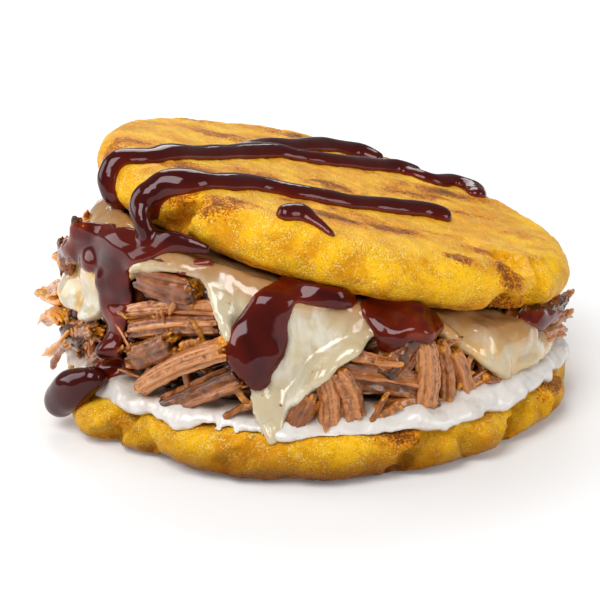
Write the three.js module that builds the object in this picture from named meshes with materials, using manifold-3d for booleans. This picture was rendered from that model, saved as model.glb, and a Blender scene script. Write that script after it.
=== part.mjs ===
// A filled corn cake: two griddled halves with white cream, pulled pork and melted cheese between
// them, and dark glaze poured over the top. Millimetres, +Z up, +X right, the open side towards -Y.
// The origin lies under the middle of the heap of meat, on the surface that the food rests on.
// A bearing is an angle about +Z in degrees: 0 points at the open front, 90 at the right side.
import * as THREE from "three";
import { mergeVertices } from "three/addons/utils/BufferGeometryUtils.js";
import Module from "manifold-3d";

const wasm = await Module();
wasm.setup();

// ---- Driving sizes ------------------------------------------------------------------------------

const CLEARANCE = 0.3; // kept between touching pieces

const BASE_SHIFT = 1.8; // how far the bottom cake and the cream lie to the right of the heap

const BOTTOM_CAKE = {
  radius: 54.9,
  thickness: 9.5,
  edge: 6.5, // how far the rounded rim reaches in from the outline
  ripples: [
    { waves: 2, depth: 1.6, phase: 0.15 }, // longer from front to back than across
    { waves: 5, depth: 0.35, phase: 0.6 },
    { waves: 9, depth: 0.3, phase: 2.2 },
    { waves: 14, depth: 0.22, phase: 4.0 },
  ],
};

const TOP_CAKE = {
  radius: 50.5,
  thickness: 11,
  edge: 7,
  centre: new THREE.Vector3(6, 4, 35.8),
  leanRight: 14.6, // degrees, the left side is up
  liftFront: 1.8, // degrees, the front is up
  ripples: [
    { waves: 2, depth: 0.45, phase: 0.4 },
    { waves: 3, depth: 0.4, phase: 2.4 },
    { waves: 7, depth: 0.4, phase: 1.2 },
    { waves: 11, depth: 0.28, phase: 5.1 },
  ],
};

const CREAM = {
  radius: 52.4,
  top: 12.7,
  skirt: 7.3, // height of the lowest drips on the rim of the bottom cake
  ripples: [
    { waves: 2, depth: 1.6, phase: 0.15 },
    { waves: 4, depth: 0.5, phase: 0.3 },
    { waves: 9, depth: 0.55, phase: 1.7 },
    { waves: 17, depth: 0.45, phase: 3.1 },
  ],
};

const PORK = {
  bottomRadius: 48.5,
  topRadius: 44.5,
  base: 11,
  underCheese: 2.9, // depth of the heap's top below the underside of the top cake
  ripples: [
    { waves: 3, depth: 0.6, phase: 0.2 },
    { waves: 8, depth: 0.7, phase: 2.0 },
    { waves: 13, depth: 0.5, phase: 4.4 },
  ],
};

// Lumps of meat that stand out of the heap: bearing, height of the middle, slope in degrees with the
// right end up, length, width, and how far the middle stands out of the heap's side.
const MORSELS = [
  { bearing: -31, height: 31.6, slope: -8, length: 14, width: 7, out: 0.6 },
  { bearing: -31, height: 25.6, slope: 6, length: 22, width: 5.6, out: 1.2 },
  { bearing: -35, height: 19.2, slope: 20, length: 15, width: 7.6, out: 1.4 },
  { bearing: -26, height: 19.0, slope: 27, length: 22, width: 4.8, out: 3.4 },
  { bearing: -22, height: 14.4, slope: 25, length: 20, width: 7, out: 2.4 },
  { bearing: -12, height: 20.5, slope: 15, length: 14, width: 6, out: 0.4 },
  { bearing: -1, height: 11.2, slope: 58, length: 10, width: 5.6, out: 4.2 },
  { bearing: 4, height: 14.6, slope: -78, length: 12, width: 5.4, out: 3.8 },
  { bearing: 8.5, height: 15.0, slope: -68, length: 11, width: 5.2, out: 3.2 },
  { bearing: 13, height: 21.0, slope: -17, length: 10, width: 3.4, out: 2.6 },
  { bearing: 18, height: 17.2, slope: -10, length: 20, width: 6, out: 1.4 },
  { bearing: 22, height: 22.2, slope: 35, length: 10, width: 6.8, out: 1.8 },
  { bearing: 27.5, height: 16.8, slope: -84, length: 14, width: 5.4, out: 2.4 },
  { bearing: 33, height: 16.2, slope: -76, length: 12, width: 5.4, out: 2.0 },
  { bearing: 40, height: 13.2, slope: 8, length: 10, width: 4.6, out: 1.6 },
  { bearing: -52, height: 16.0, slope: 35, length: 15, width: 6, out: 1.0 },
  { bearing: -74, height: 11.4, slope: 32, length: 12, width: 3.2, out: 3.0 },
  { bearing: -88, height: 17.5, slope: 14, length: 15, width: 6.4, out: 3.6 },
  { bearing: -97, height: 24.6, slope: -10, length: 12, width: 5.4, out: 4.2 },
  { bearing: 92, height: 15.6, slope: 18, length: 12, width: 5.4, out: 5.0 },
  { bearing: 76, height: 13.6, slope: -12, length: 12, width: 4.6, out: 2.0 },
];

// The rest of the heap is ringed with lumps set a golden angle apart, from the left side round the
// back to the right side.
const BACK_MORSELS = { count: 11, from: 114, to: 244, length: 17, width: 6.8, out: 1.5 };

const CHEESE = {
  thickness: 2.2,
  shoulderRadius: 47.6,
  rounding: 4, // radius of the bend from the flat part to the hanging part
  slump: { bearing: -58, half: 75, extra: 5 }, // where the bend is softer
  hang: 4.5, // how far the edge hangs where there is no tongue
  flare: 0.13, // how much further out each millimetre of hanging lies
  splay: 0.03, // how strongly a long tongue bends out over the cream
  splayFrom: 8,
};

// Hanging tongues: bearing of the middle, half width in degrees, drop below the shoulder, and power of
// the outline, which is low for a broad flap and high for a narrow drip.
const TONGUES = [
  { bearing: 0.5, half: 18, drop: 9, power: 1.1 },
  { bearing: -5, half: 7, drop: 12.5, power: 0.6 },
  { bearing: 46, half: 22, drop: 9.5, power: 1.0 },
  { bearing: 66, half: 14, drop: 3, power: 1.0 },
  { bearing: -62, half: 20, drop: 15, power: 1.3 },
  { bearing: 104, half: 22, drop: 3, power: 1.2 },
  { bearing: 150, half: 20, drop: 6, power: 1.5 },
  { bearing: 196, half: 16, drop: 9, power: 1.6 },
  { bearing: 236, half: 18, drop: 5, power: 1.3 },
];

// Glaze that lies on the top cake: stations along each run, [x, y, half width, height], in the cake's
// own plane. A station outside the outline lies further down the rim.
const BACK_RIBBON = [
  [-49, -31, 2.6, 2.2],
  [-44.5, -25.5, 3.0, 2.6],
  [-37, -15, 2.8, 2.6],
  [-28, -3.5, 2.6, 2.5],
  [-17, 8, 2.8, 2.6],
  [-7, 15, 2.4, 2.4],
  [4, 23, 2.5, 2.4],
  [13, 30, 2.8, 2.6],
];
const FAR_RIBBON = [
  [-24, 3, 2.2, 2.0],
  [-14, 19, 2.4, 2.2],
  [-6, 28, 3.0, 2.6],
  [5, 36, 3.2, 2.8],
];
const END_BLOB = [
  [12, 29, 2.0, 1.8],
  [21, 29, 2.8, 2.6],
  [30, 27, 3.4, 3.0],
];
const FRONT_RIBBON = [
  [-37.5, -40, 3.2, 2.6],
  [-33.5, -36, 3.4, 3.0],
  [-24.5, -33, 3.0, 2.8],
  [-13, -24, 2.8, 2.6],
  [0, -19.5, 3.0, 2.6],
  [11, -12, 2.8, 2.8],
  [20, -8.5, 2.7, 2.8],
];
const TOP_DROP = [
  [-11, -44.5, 2.4, 2.4],
  [-8, -44, 2.2, 2.4],
  [-3.2, -47, 1.2, 1.2],
];

// Glaze that lies below the top cake: stations [bearing, radius, height, half width, thickness].
const FALL = [
  [-40, 45.0, 47.0, 3.2, 2.8],
  [-38.5, 46.0, 44.0, 2.6, 2.4],
  [-37.5, 46.0, 40.6, 1.9, 1.9],
  [-38, 45.4, 37.2, 3.2, 2.2],
];
const POOL = [
  [-27, 45.6, 38.2, 2.4, 1.8],
  [-37, 45.8, 37.4, 3.8, 2.2],
  [-49, 46.6, 36.0, 5.2, 2.4],
  [-61, 47.2, 34.4, 3.4, 2.0],
];
const FLOW = [
  [-43, 46.4, 36.0, 5.0, 2.4],
  [-46, 48.4, 30.5, 5.0, 2.4],
  [-45, 49.6, 24.0, 4.2, 2.4],
  [-43.5, 50.2, 18.0, 3.0, 2.6],
  [-45, 50.8, 13.6, 4.4, 3.2],
];
const RIM_BLOB = [
  [-43, 50.8, 13.6, 4.0, 3.0],
  [-50, 53.0, 10.8, 5.2, 3.6],
  [-58, 54.2, 7.0, 5.0, 3.4],
  [-64, 54.6, 4.2, 3.2, 2.6],
];
const CENTRE_TONGUE = [
  [4, 47.0, 32.0, 8.0, 2.0],
  [-3, 49.6, 28.2, 6.4, 2.2],
  [-6.5, 51.0, 23.0, 5.2, 2.3],
  [-7.5, 52.0, 17.6, 3.6, 2.2],
];
const RIGHT_TONGUE = [
  [24, 47.0, 30.4, 7.0, 1.9],
  [19, 49.6, 25.6, 5.4, 2.1],
  [16.5, 50.2, 22.4, 3.2, 1.9],
];
const RIGHT_END = [
  [68, 48.0, 17.6, 3.4, 2.0],
  [80, 50.6, 17.4, 3.6, 2.4],
  [90, 52.6, 16.6, 2.4, 2.0],
];

// ---- Shared shapes ------------------------------------------------------------------------------

const toRadians = THREE.MathUtils.degToRad;

function bearingOf(point) {
  return Math.atan2(point.x, -point.y);
}

function polar(angle, radius, height) {
  return new THREE.Vector3(radius * Math.sin(angle), -radius * Math.cos(angle), height);
}

function rippled(ripples, angle) {
  return ripples.reduce((sum, r) => sum + r.depth * Math.cos(r.waves * angle + r.phase), 0);
}

// Moves every vertex of a geometry to where move(vertex) puts it.
function reshaped(geometry, move) {
  const place = geometry.getAttribute("position");
  const vertex = new THREE.Vector3();
  for (let i = 0; i < place.count; i++) {
    vertex.fromBufferAttribute(place, i);
    const moved = move(vertex.clone());
    place.setXYZ(i, moved.x, moved.y, moved.z);
  }
  return geometry;
}

// A closed three.js geometry as a solid. Triangles that shrank to nothing at a pole are left out.
function solidFrom(geometry, tolerance = 1e-4) {
  const bare = new THREE.BufferGeometry();
  bare.setAttribute("position", geometry.getAttribute("position"));
  if (geometry.index) bare.setIndex(geometry.index);
  const merged = mergeVertices(bare, tolerance);
  const corners = merged.index.array;
  const kept = [];
  for (let i = 0; i < corners.length; i += 3) {
    const [a, b, c] = corners.slice(i, i + 3);
    if (a !== b && b !== c && c !== a) kept.push(a, b, c);
  }
  return new wasm.Manifold(
    new wasm.Mesh({
      numProp: 3,
      vertProperties: merged.getAttribute("position").array,
      triVerts: Uint32Array.from(kept),
    }),
  );
}

// The biggest body of a solid, without chips that a cut left over or bubbles between joined lumps.
// Corners closer than a thousandth are made one first, as they'd be once the part is written out.
function mainBody(solid) {
  const welded = solidFrom(geometryOf(solid), 2e-3);
  return welded.decompose().sort((a, b) => b.volume() - a.volume())[0];
}

function cutBy(solid, others) {
  return mainBody(others.reduce((left, other) => left.subtract(other), solid));
}

function joined(solids) {
  return solids.reduce((all, solid) => all.add(solid));
}

function geometryOf(solid) {
  const mesh = solid.getMesh();
  const indexed = new THREE.BufferGeometry();
  indexed.setAttribute("position", new THREE.BufferAttribute(mesh.vertProperties, 3));
  indexed.setIndex(new THREE.BufferAttribute(mesh.triVerts, 1));
  const flat = indexed.toNonIndexed();
  flat.computeVertexNormals();
  return flat;
}

// A revolved profile of [radius, height] points, turned so that its axis is +Z.
function revolved(profile, segments) {
  const points = profile.map(([radius, height]) => new THREE.Vector2(radius, height));
  return new THREE.LatheGeometry(points, segments).rotateX(Math.PI / 2);
}

// A long closed bead along stations {at, up, wide, high}, with rounded ends.
function bead(stations, { sides = 7, steps = 2 * stations.length + 2, grow = 0 } = {}) {
  const line = new THREE.CatmullRomCurve3(stations.map((s) => s.at), false, "centripetal");
  const ups = new THREE.CatmullRomCurve3(stations.map((s) => s.up), false, "centripetal");
  const sizes = new THREE.CatmullRomCurve3(
    stations.map((s) => new THREE.Vector3(s.wide, s.high, 0)),
    false,
    "catmullrom",
    0.3,
  );
  const roundShare = Math.min(0.45, stations[0].wide / line.getLength());
  const ball = new THREE.SphereGeometry(1, sides, steps).rotateX(Math.PI / 2);
  const shape = reshaped(ball, (vertex) => {
    const along = (1 - vertex.z) / 2;
    const around = Math.atan2(vertex.y, vertex.x);
    const nearEnd = Math.max(0, 1 - Math.min(along, 1 - along) / roundShare);
    const roundness = Math.sqrt(Math.max(0, 1 - nearEnd * nearEnd));
    const middle = line.getPoint(along);
    const tangent = line.getTangent(along);
    const side = new THREE.Vector3().crossVectors(tangent, ups.getPoint(along)).normalize();
    const up = new THREE.Vector3().crossVectors(side, tangent).normalize();
    const size = sizes.getPoint(along);
    const atPole = Math.hypot(vertex.x, vertex.y) < 1e-6;
    const reach = atPole ? 0 : roundness;
    return middle
      .addScaledVector(tangent, -vertex.z * grow)
      .addScaledVector(side, Math.cos(around) * (size.x * reach + grow))
      .addScaledVector(up, Math.sin(around) * (size.y * reach + grow));
  });
  return solidFrom(shape);
}

// ---- Corn cakes ---------------------------------------------------------------------------------

// Half profile of a flat cake with a rounded rim, from the middle of its underside to the middle of
// its top, with the underside at height 0.
function cakeProfile({ radius, thickness, edge }, grow) {
  const rimSteps = 6;
  const inner = radius - edge;
  const rim = [];
  for (let step = 0; step <= rimSteps; step++) {
    const turn = -Math.PI / 2 + (Math.PI * step) / rimSteps;
    rim.push([
      inner + (edge + grow) * Math.cos(turn),
      thickness / 2 + (thickness / 2 + grow) * Math.sin(turn),
    ]);
  }
  const low = -grow;
  const high = thickness + grow;
  return [[0, low], ...rim, [0, high]];
}

function cakeGeometry(cake, grow = 0) {
  const segments = 52;
  return reshaped(revolved(cakeProfile(cake, grow), segments), (vertex) => {
    const angle = bearingOf(vertex);
    const reach = Math.hypot(vertex.x, vertex.y);
    const share = THREE.MathUtils.smoothstep(reach, cake.radius * 0.6, cake.radius);
    const radius = reach + share * rippled(cake.ripples, angle);
    return polar(angle, radius, vertex.z);
  });
}

const topCakeSeat = new THREE.Object3D();
topCakeSeat.position.copy(TOP_CAKE.centre);
topCakeSeat.rotation.set(toRadians(-TOP_CAKE.liftFront), toRadians(TOP_CAKE.leanRight), 0);
topCakeSeat.updateMatrixWorld();

// The top cake in its own frame, with the middle of its thickness at the origin.
function topCakeGeometry(grow = 0) {
  return cakeGeometry(TOP_CAKE, grow).translate(0, 0, -TOP_CAKE.thickness / 2);
}

// Height of the top cake's flat underside above the point (x, y) of the ground.
function undersideHeight(x, y) {
  const normal = new THREE.Vector3(0, 0, 1).transformDirection(topCakeSeat.matrixWorld);
  const on = topCakeSeat.localToWorld(new THREE.Vector3(0, 0, -TOP_CAKE.thickness / 2));
  return on.z - (normal.x * (x - on.x) + normal.y * (y - on.y)) / normal.z;
}

// A place on the top cake, in its own frame, and the way out of it. Past the flat part, the distance
// from the middle is measured down round the rim.
function onTopCake(x, y) {
  const { radius, edge, thickness, ripples } = TOP_CAKE;
  const distance = Math.hypot(x, y);
  const angle = bearingOf({ x, y });
  const flat = radius - edge + rippled(ripples, angle);
  const turn = Math.max(0, (distance - flat) / ((edge + thickness / 2) / 2));
  const reach = Math.min(distance, flat) + edge * Math.sin(turn);
  return {
    at: polar(angle, reach, (thickness / 2) * Math.cos(turn)),
    up: polar(angle, (thickness / 2) * Math.sin(turn), edge * Math.cos(turn)).normalize(),
  };
}

// ---- Cream --------------------------------------------------------------------------------------

// A thick disc of cream whose scalloped skirt runs a little way down the rim of the bottom cake.
function creamSolid(grow = 0) {
  const { radius, top, skirt, ripples } = CREAM;
  const profile = [
    [0, 4],
    [radius - 5, 4],
    [radius - 0.4, skirt],
    [radius + 1.0, skirt + 1.1],
    [radius + 0.6, top - 2.7],
    [radius - 1.6, top - 0.9],
    [radius - 5.5, top],
    [0, top],
  ];
  const shape = reshaped(revolved(profile, 52), (vertex) => {
    const angle = bearingOf(vertex);
    const reach = Math.hypot(vertex.x, vertex.y);
    const share = THREE.MathUtils.smoothstep(reach, radius * 0.7, radius);
    const wave = rippled(ripples, angle);
    const radiusHere = reach + share * wave * 0.8 + (reach > 0 ? grow : 0);
    return polar(angle, radiusHere, vertex.z - share * wave * 0.5 + (vertex.z > 9 ? grow : 0));
  });
  return solidFrom(shape.translate(BASE_SHIFT, 0, 0));
}

// ---- Pulled pork --------------------------------------------------------------------------------

// Radius of the heap's side at a height.
function porkRadius(angle, height, grow = 0) {
  const share = (height - PORK.base) / (undersideHeight(-40, 0) - PORK.base);
  const plain = THREE.MathUtils.lerp(PORK.bottomRadius, PORK.topRadius, share);
  return plain + rippled(PORK.ripples, angle + height * 0.09) + grow;
}

// The heap without its lumps: a drum with a slanting top.
function porkCore(grow = 0) {
  const levels = 4;
  const profile = [[0, 0]];
  for (let level = 0; level <= levels; level++) profile.push([1, level / levels]);
  profile.push([0, 1]);
  const shape = reshaped(revolved(profile, 36), (vertex) => {
    const angle = bearingOf(vertex);
    const reach = Math.hypot(vertex.x, vertex.y);
    const edge = polar(angle, reach * PORK.topRadius, 0);
    const roof = undersideHeight(edge.x, edge.y) - PORK.underCheese + grow;
    const height = THREE.MathUtils.lerp(PORK.base, Math.max(roof, PORK.base + 1), vertex.z);
    return polar(angle, reach * porkRadius(angle, height, grow), height);
  });
  return solidFrom(shape);
}

function morsel({ bearing, height, slope, length, width, out }, grow = 0) {
  const angle = toRadians(bearing);
  const outward = polar(angle, 1, 0);
  const sideways = polar(angle + Math.PI / 2, 1, 0);
  const middle = polar(angle, porkRadius(angle, height) + out - width * 0.42, height);
  const run = sideways
    .multiplyScalar(Math.cos(toRadians(slope)))
    .add(new THREE.Vector3(0, 0, Math.sin(toRadians(slope))));
  const stations = [-0.5, -0.17, 0.17, 0.5].map((share) => ({
    at: middle
      .clone()
      .addScaledVector(run, share * length)
      .addScaledVector(outward, -share * share * length * 0.22),
    up: outward,
    wide: width * 0.5,
    high: width * 0.42,
  }));
  return bead(stations, { sides: 6, steps: 5, grow });
}

function backMorsels() {
  const { count, from, to, length, width, out } = BACK_MORSELS;
  const golden = 0.618034;
  return Array.from({ length: count }, (_, i) => {
    const share = (i * golden) % 1;
    const bearing = THREE.MathUtils.lerp(from, to, (i + 0.5) / count);
    const room = undersideHeight(...polar(toRadians(bearing), 44, 0).toArray()) - 18;
    return {
      bearing,
      height: 14 + share * Math.max(0, room - 3),
      slope: -35 + 70 * ((i * golden * 5) % 1),
      length: length * (0.8 + 0.4 * share),
      width,
      out,
    };
  });
}

function porkSolid(grow = 0) {
  const lumps = [...MORSELS, ...backMorsels()].map((m) => morsel(m, grow));
  return joined([porkCore(grow), ...lumps]);
}

// ---- Melted cheese ------------------------------------------------------------------------------

// How far the sheet's edge hangs below its shoulder at a bearing.
function hangAt(angle) {
  const extra = TONGUES.reduce((sum, tongue) => {
    const turned = angle - toRadians(tongue.bearing);
    const away = Math.abs(Math.atan2(Math.sin(turned), Math.cos(turned)));
    const share = Math.max(0, 1 - away / toRadians(tongue.half));
    return sum + tongue.drop * Math.pow(THREE.MathUtils.smoothstep(share, 0, 1), tongue.power);
  }, 0);
  return CHEESE.hang + extra + 0.5 * Math.cos(11 * angle + 0.7);
}

function bendAt(angle) {
  const { bearing, half, extra } = CHEESE.slump;
  const turned = angle - toRadians(bearing);
  const away = Math.abs(Math.atan2(Math.sin(turned), Math.cos(turned)));
  return CHEESE.rounding + extra * THREE.MathUtils.smoothstep(1 - away / toRadians(half), 0, 1);
}

// A place on the sheet, share of the way from its middle to its hanging edge, at a depth below its
// outer face.
function onCheese(angle, share, depth, grow) {
  const { shoulderRadius, flare, splay, splayFrom } = CHEESE;
  const rounding = bendAt(angle);
  const flatLength = shoulderRadius - rounding;
  const bendLength = (Math.PI / 2) * rounding;
  const hang = Math.max(0.5, hangAt(angle) - rounding) + 1.5 * grow;
  const flatShare = 1 / 7;
  const bendShare = 3 / 7;
  const shoulder = polar(angle, shoulderRadius, 0);
  const roof = undersideHeight(shoulder.x, shoulder.y) - 0.35;
  if (share < flatShare) {
    const at = polar(angle, flatLength * (share / flatShare), 0);
    return at.setZ(undersideHeight(at.x, at.y) - 0.35 - depth);
  }
  const turn = (Math.min(1, (share - flatShare) / (bendShare - flatShare)) * bendLength) / rounding;
  const inside = rounding - depth;
  const bend = polar(angle, flatLength + inside * Math.sin(turn), roof - rounding + inside * Math.cos(turn));
  const drop = Math.max(0, (share - bendShare) / (1 - bendShare)) * hang;
  const outward = drop * flare + splay * Math.max(0, drop - splayFrom) ** 2;
  return bend.add(polar(angle, outward, -drop));
}

function cheeseSolid(grow = 0) {
  const segments = 54;
  const steps = 14;
  const shape = new THREE.SphereGeometry(1, segments, steps).rotateX(Math.PI / 2);
  return solidFrom(
    reshaped(shape, (vertex) => {
      const around = bearingOf(vertex);
      const angle = around - 0.5 * Math.sin(around); // packs the segments closer at the front
      const polarShare = Math.acos(THREE.MathUtils.clamp(vertex.z, -1, 1)) / Math.PI;
      const inside = polarShare > 0.5;
      const share = 1 - Math.abs(1 - 2 * polarShare);
      const depth = inside ? CHEESE.thickness + grow : -grow;
      return onCheese(angle, share, depth, grow);
    }),
  );
}

// ---- Glaze --------------------------------------------------------------------------------------

function cakeRun(stations) {
  const placed = stations.map(([x, y, wide, high]) => {
    const { at, up } = onTopCake(x, y);
    const turned = up.applyQuaternion(topCakeSeat.quaternion);
    return { at: topCakeSeat.localToWorld(at), up: turned, wide, high };
  });
  return bead(placed);
}

function sideRun(stations, upright) {
  const placed = stations.map(([bearing, radius, height, wide, high]) => ({
    at: polar(toRadians(bearing), radius, height),
    up: polar(toRadians(bearing), 1, upright).normalize(),
    wide,
    high,
  }));
  return bead(placed);
}

// ---- The pieces ---------------------------------------------------------------------------------

const bottomCakeSolid = (grow) => solidFrom(cakeGeometry(BOTTOM_CAKE, grow).translate(BASE_SHIFT, 0, 0));

const bottomCake = bottomCakeSolid(0);
const bottomCakeRoom = bottomCakeSolid(CLEARANCE);
const topCake = solidFrom(topCakeGeometry());
const topCakeRoom = solidFrom(topCakeGeometry(CLEARANCE).applyMatrix4(topCakeSeat.matrixWorld));

const cream = cutBy(creamSolid(), [bottomCakeRoom]);
const creamRoom = creamSolid(CLEARANCE);
const pork = cutBy(porkSolid(), [creamRoom, bottomCakeRoom, topCakeRoom]);
const porkRoom = porkSolid(CLEARANCE);
const cheese = cutBy(cheeseSolid(), [porkRoom, creamRoom, bottomCakeRoom, topCakeRoom]);
const cheeseRoom = cheeseSolid(CLEARANCE);

const lowerRoom = [bottomCakeRoom, creamRoom, porkRoom, cheeseRoom, topCakeRoom];
const backGlaze = cutBy(joined([BACK_RIBBON, FAR_RIBBON, END_BLOB].map(cakeRun)), lowerRoom);
const dropGlaze = cutBy(cakeRun(TOP_DROP), lowerRoom);
const frontGlaze = cutBy(
  joined([
    cakeRun(FRONT_RIBBON),
    sideRun(FALL, 0),
    sideRun(POOL, 2),
    sideRun(FLOW, 0.4),
    sideRun(RIM_BLOB, 1),
  ]),
  lowerRoom,
);
const centreGlaze = cutBy(sideRun(CENTRE_TONGUE, 0.6), lowerRoom);
const rightGlaze = cutBy(sideRun(RIGHT_TONGUE, 0.6), lowerRoom);
const endGlaze = cutBy(sideRun(RIGHT_END, 0.6), lowerRoom);

const FINISHES = {
  corn: { color: 0xe3a21a, roughness: 0.62, metalness: 0 },
  cream: { color: 0xf1eeea, roughness: 0.3, metalness: 0 },
  pork: { color: 0x8a5230, roughness: 0.5, metalness: 0 },
  cheese: { color: 0xe6dcb4, roughness: 0.28, metalness: 0 },
  glaze: { color: 0x3c0f06, roughness: 0.12, metalness: 0 },
};

function piece(name, solid, finish) {
  const mesh = new THREE.Mesh(geometryOf(solid), new THREE.MeshStandardMaterial(FINISHES[finish]));
  mesh.name = name;
  return mesh;
}

const upper = piece("top_cake", topCake, "corn");
upper.position.copy(topCakeSeat.position);
upper.rotation.copy(topCakeSeat.rotation);

const arepa = new THREE.Group();
arepa.add(
  piece("bottom_cake", bottomCake, "corn"),
  piece("cream", cream, "cream"),
  piece("pulled_pork", pork, "pork"),
  piece("melted_cheese", cheese, "cheese"),
  upper,
  piece("glaze_back_ribbon", backGlaze, "glaze"),
  piece("glaze_top_drop", dropGlaze, "glaze"),
  piece("glaze_front_run", frontGlaze, "glaze"),
  piece("glaze_centre_tongue", centreGlaze, "glaze"),
  piece("glaze_right_tongue", rightGlaze, "glaze"),
  piece("glaze_right_end", endGlaze, "glaze"),
);

export default arepa;
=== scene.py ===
"""Looks of a filled corn cake: two griddled halves, cream, pulled pork, melted cheese and glaze.

Every piece is modelled around the fixed frame of CAD solids, in metres, in the same place. +Z is up, the
open side faces -Y, and a bearing is an angle about +Z in degrees: 0 is the open front, 90 the right side.
"""

from __future__ import annotations

import logging
import math
import random
from contextlib import contextmanager
from dataclasses import dataclass, field
from enum import Enum
from typing import Callable, Iterator, Sequence

import bpy
import numpy as np
from mathutils import Euler, Matrix, Vector, noise


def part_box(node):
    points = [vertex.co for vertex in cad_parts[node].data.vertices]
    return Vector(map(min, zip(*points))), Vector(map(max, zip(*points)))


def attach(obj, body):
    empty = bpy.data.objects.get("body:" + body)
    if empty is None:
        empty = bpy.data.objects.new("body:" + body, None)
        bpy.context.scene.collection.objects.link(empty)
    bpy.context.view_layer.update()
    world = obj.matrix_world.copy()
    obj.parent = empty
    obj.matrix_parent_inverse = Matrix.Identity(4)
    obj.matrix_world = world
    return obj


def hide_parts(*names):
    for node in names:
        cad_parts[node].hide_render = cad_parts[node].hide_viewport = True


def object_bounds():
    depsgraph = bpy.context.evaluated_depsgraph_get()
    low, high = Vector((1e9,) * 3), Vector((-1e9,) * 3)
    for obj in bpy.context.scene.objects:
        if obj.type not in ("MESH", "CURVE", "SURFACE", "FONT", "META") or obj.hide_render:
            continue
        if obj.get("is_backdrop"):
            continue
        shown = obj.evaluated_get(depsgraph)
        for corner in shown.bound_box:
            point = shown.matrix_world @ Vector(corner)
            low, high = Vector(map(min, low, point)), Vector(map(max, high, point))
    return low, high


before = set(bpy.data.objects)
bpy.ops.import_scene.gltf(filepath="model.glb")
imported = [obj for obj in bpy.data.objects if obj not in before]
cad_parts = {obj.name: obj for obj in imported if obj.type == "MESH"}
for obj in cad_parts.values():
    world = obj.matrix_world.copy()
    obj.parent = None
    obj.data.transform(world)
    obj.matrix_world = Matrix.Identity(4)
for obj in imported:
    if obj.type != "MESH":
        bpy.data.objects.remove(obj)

log = logging.getLogger("corn_cake")

MM = 0.001
UP = Vector((0.0, 0.0, 1.0))


# ---- Shader expressions -------------------------------------------------------------------------


class Value:
    """A number that varies over a surface: one socket, with arithmetic that adds Math nodes."""

    def __init__(self, graph: Graph, socket: bpy.types.NodeSocket) -> None:
        """Wraps an output socket of a node in graph."""
        self.graph = graph
        self.socket = socket

    def _math(self, operation: str, *operands: Value | float) -> Value:
        """Adds one Math node and returns its result."""
        return self.graph.number("ShaderNodeMath", {"operation": operation}, dict(enumerate(operands)))

    def __add__(self, other: Value | float) -> Value:
        """Sum."""
        return self._math("ADD", self, other)

    __radd__ = __add__

    def __sub__(self, other: Value | float) -> Value:
        """Difference."""
        return self._math("SUBTRACT", self, other)

    def __rsub__(self, other: float) -> Value:
        """Difference, the other way round."""
        return self._math("SUBTRACT", other, self)

    def __mul__(self, other: Value | float) -> Value:
        """Product."""
        return self._math("MULTIPLY", self, other)

    __rmul__ = __mul__

    def larger(self, other: Value | float) -> Value:
        """The larger of two values."""
        return self._math("MAXIMUM", self, other)

    def step(self, low: float, high: float) -> Value:
        """Smooth step.

        Args:
            low: where it is 0, which may be above high.
            high: where it is 1.

        Returns:
            The step, from 0 to 1.
        """
        settings = {"interpolation_type": "SMOOTHSTEP"}
        flipped = low > high
        first, last = (high, low) if flipped else (low, high)
        rise = self.graph.number(
            "ShaderNodeMapRange", settings, {"Value": self, "From Min": first, "From Max": last}
        )
        return 1.0 - rise if flipped else rise


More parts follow.
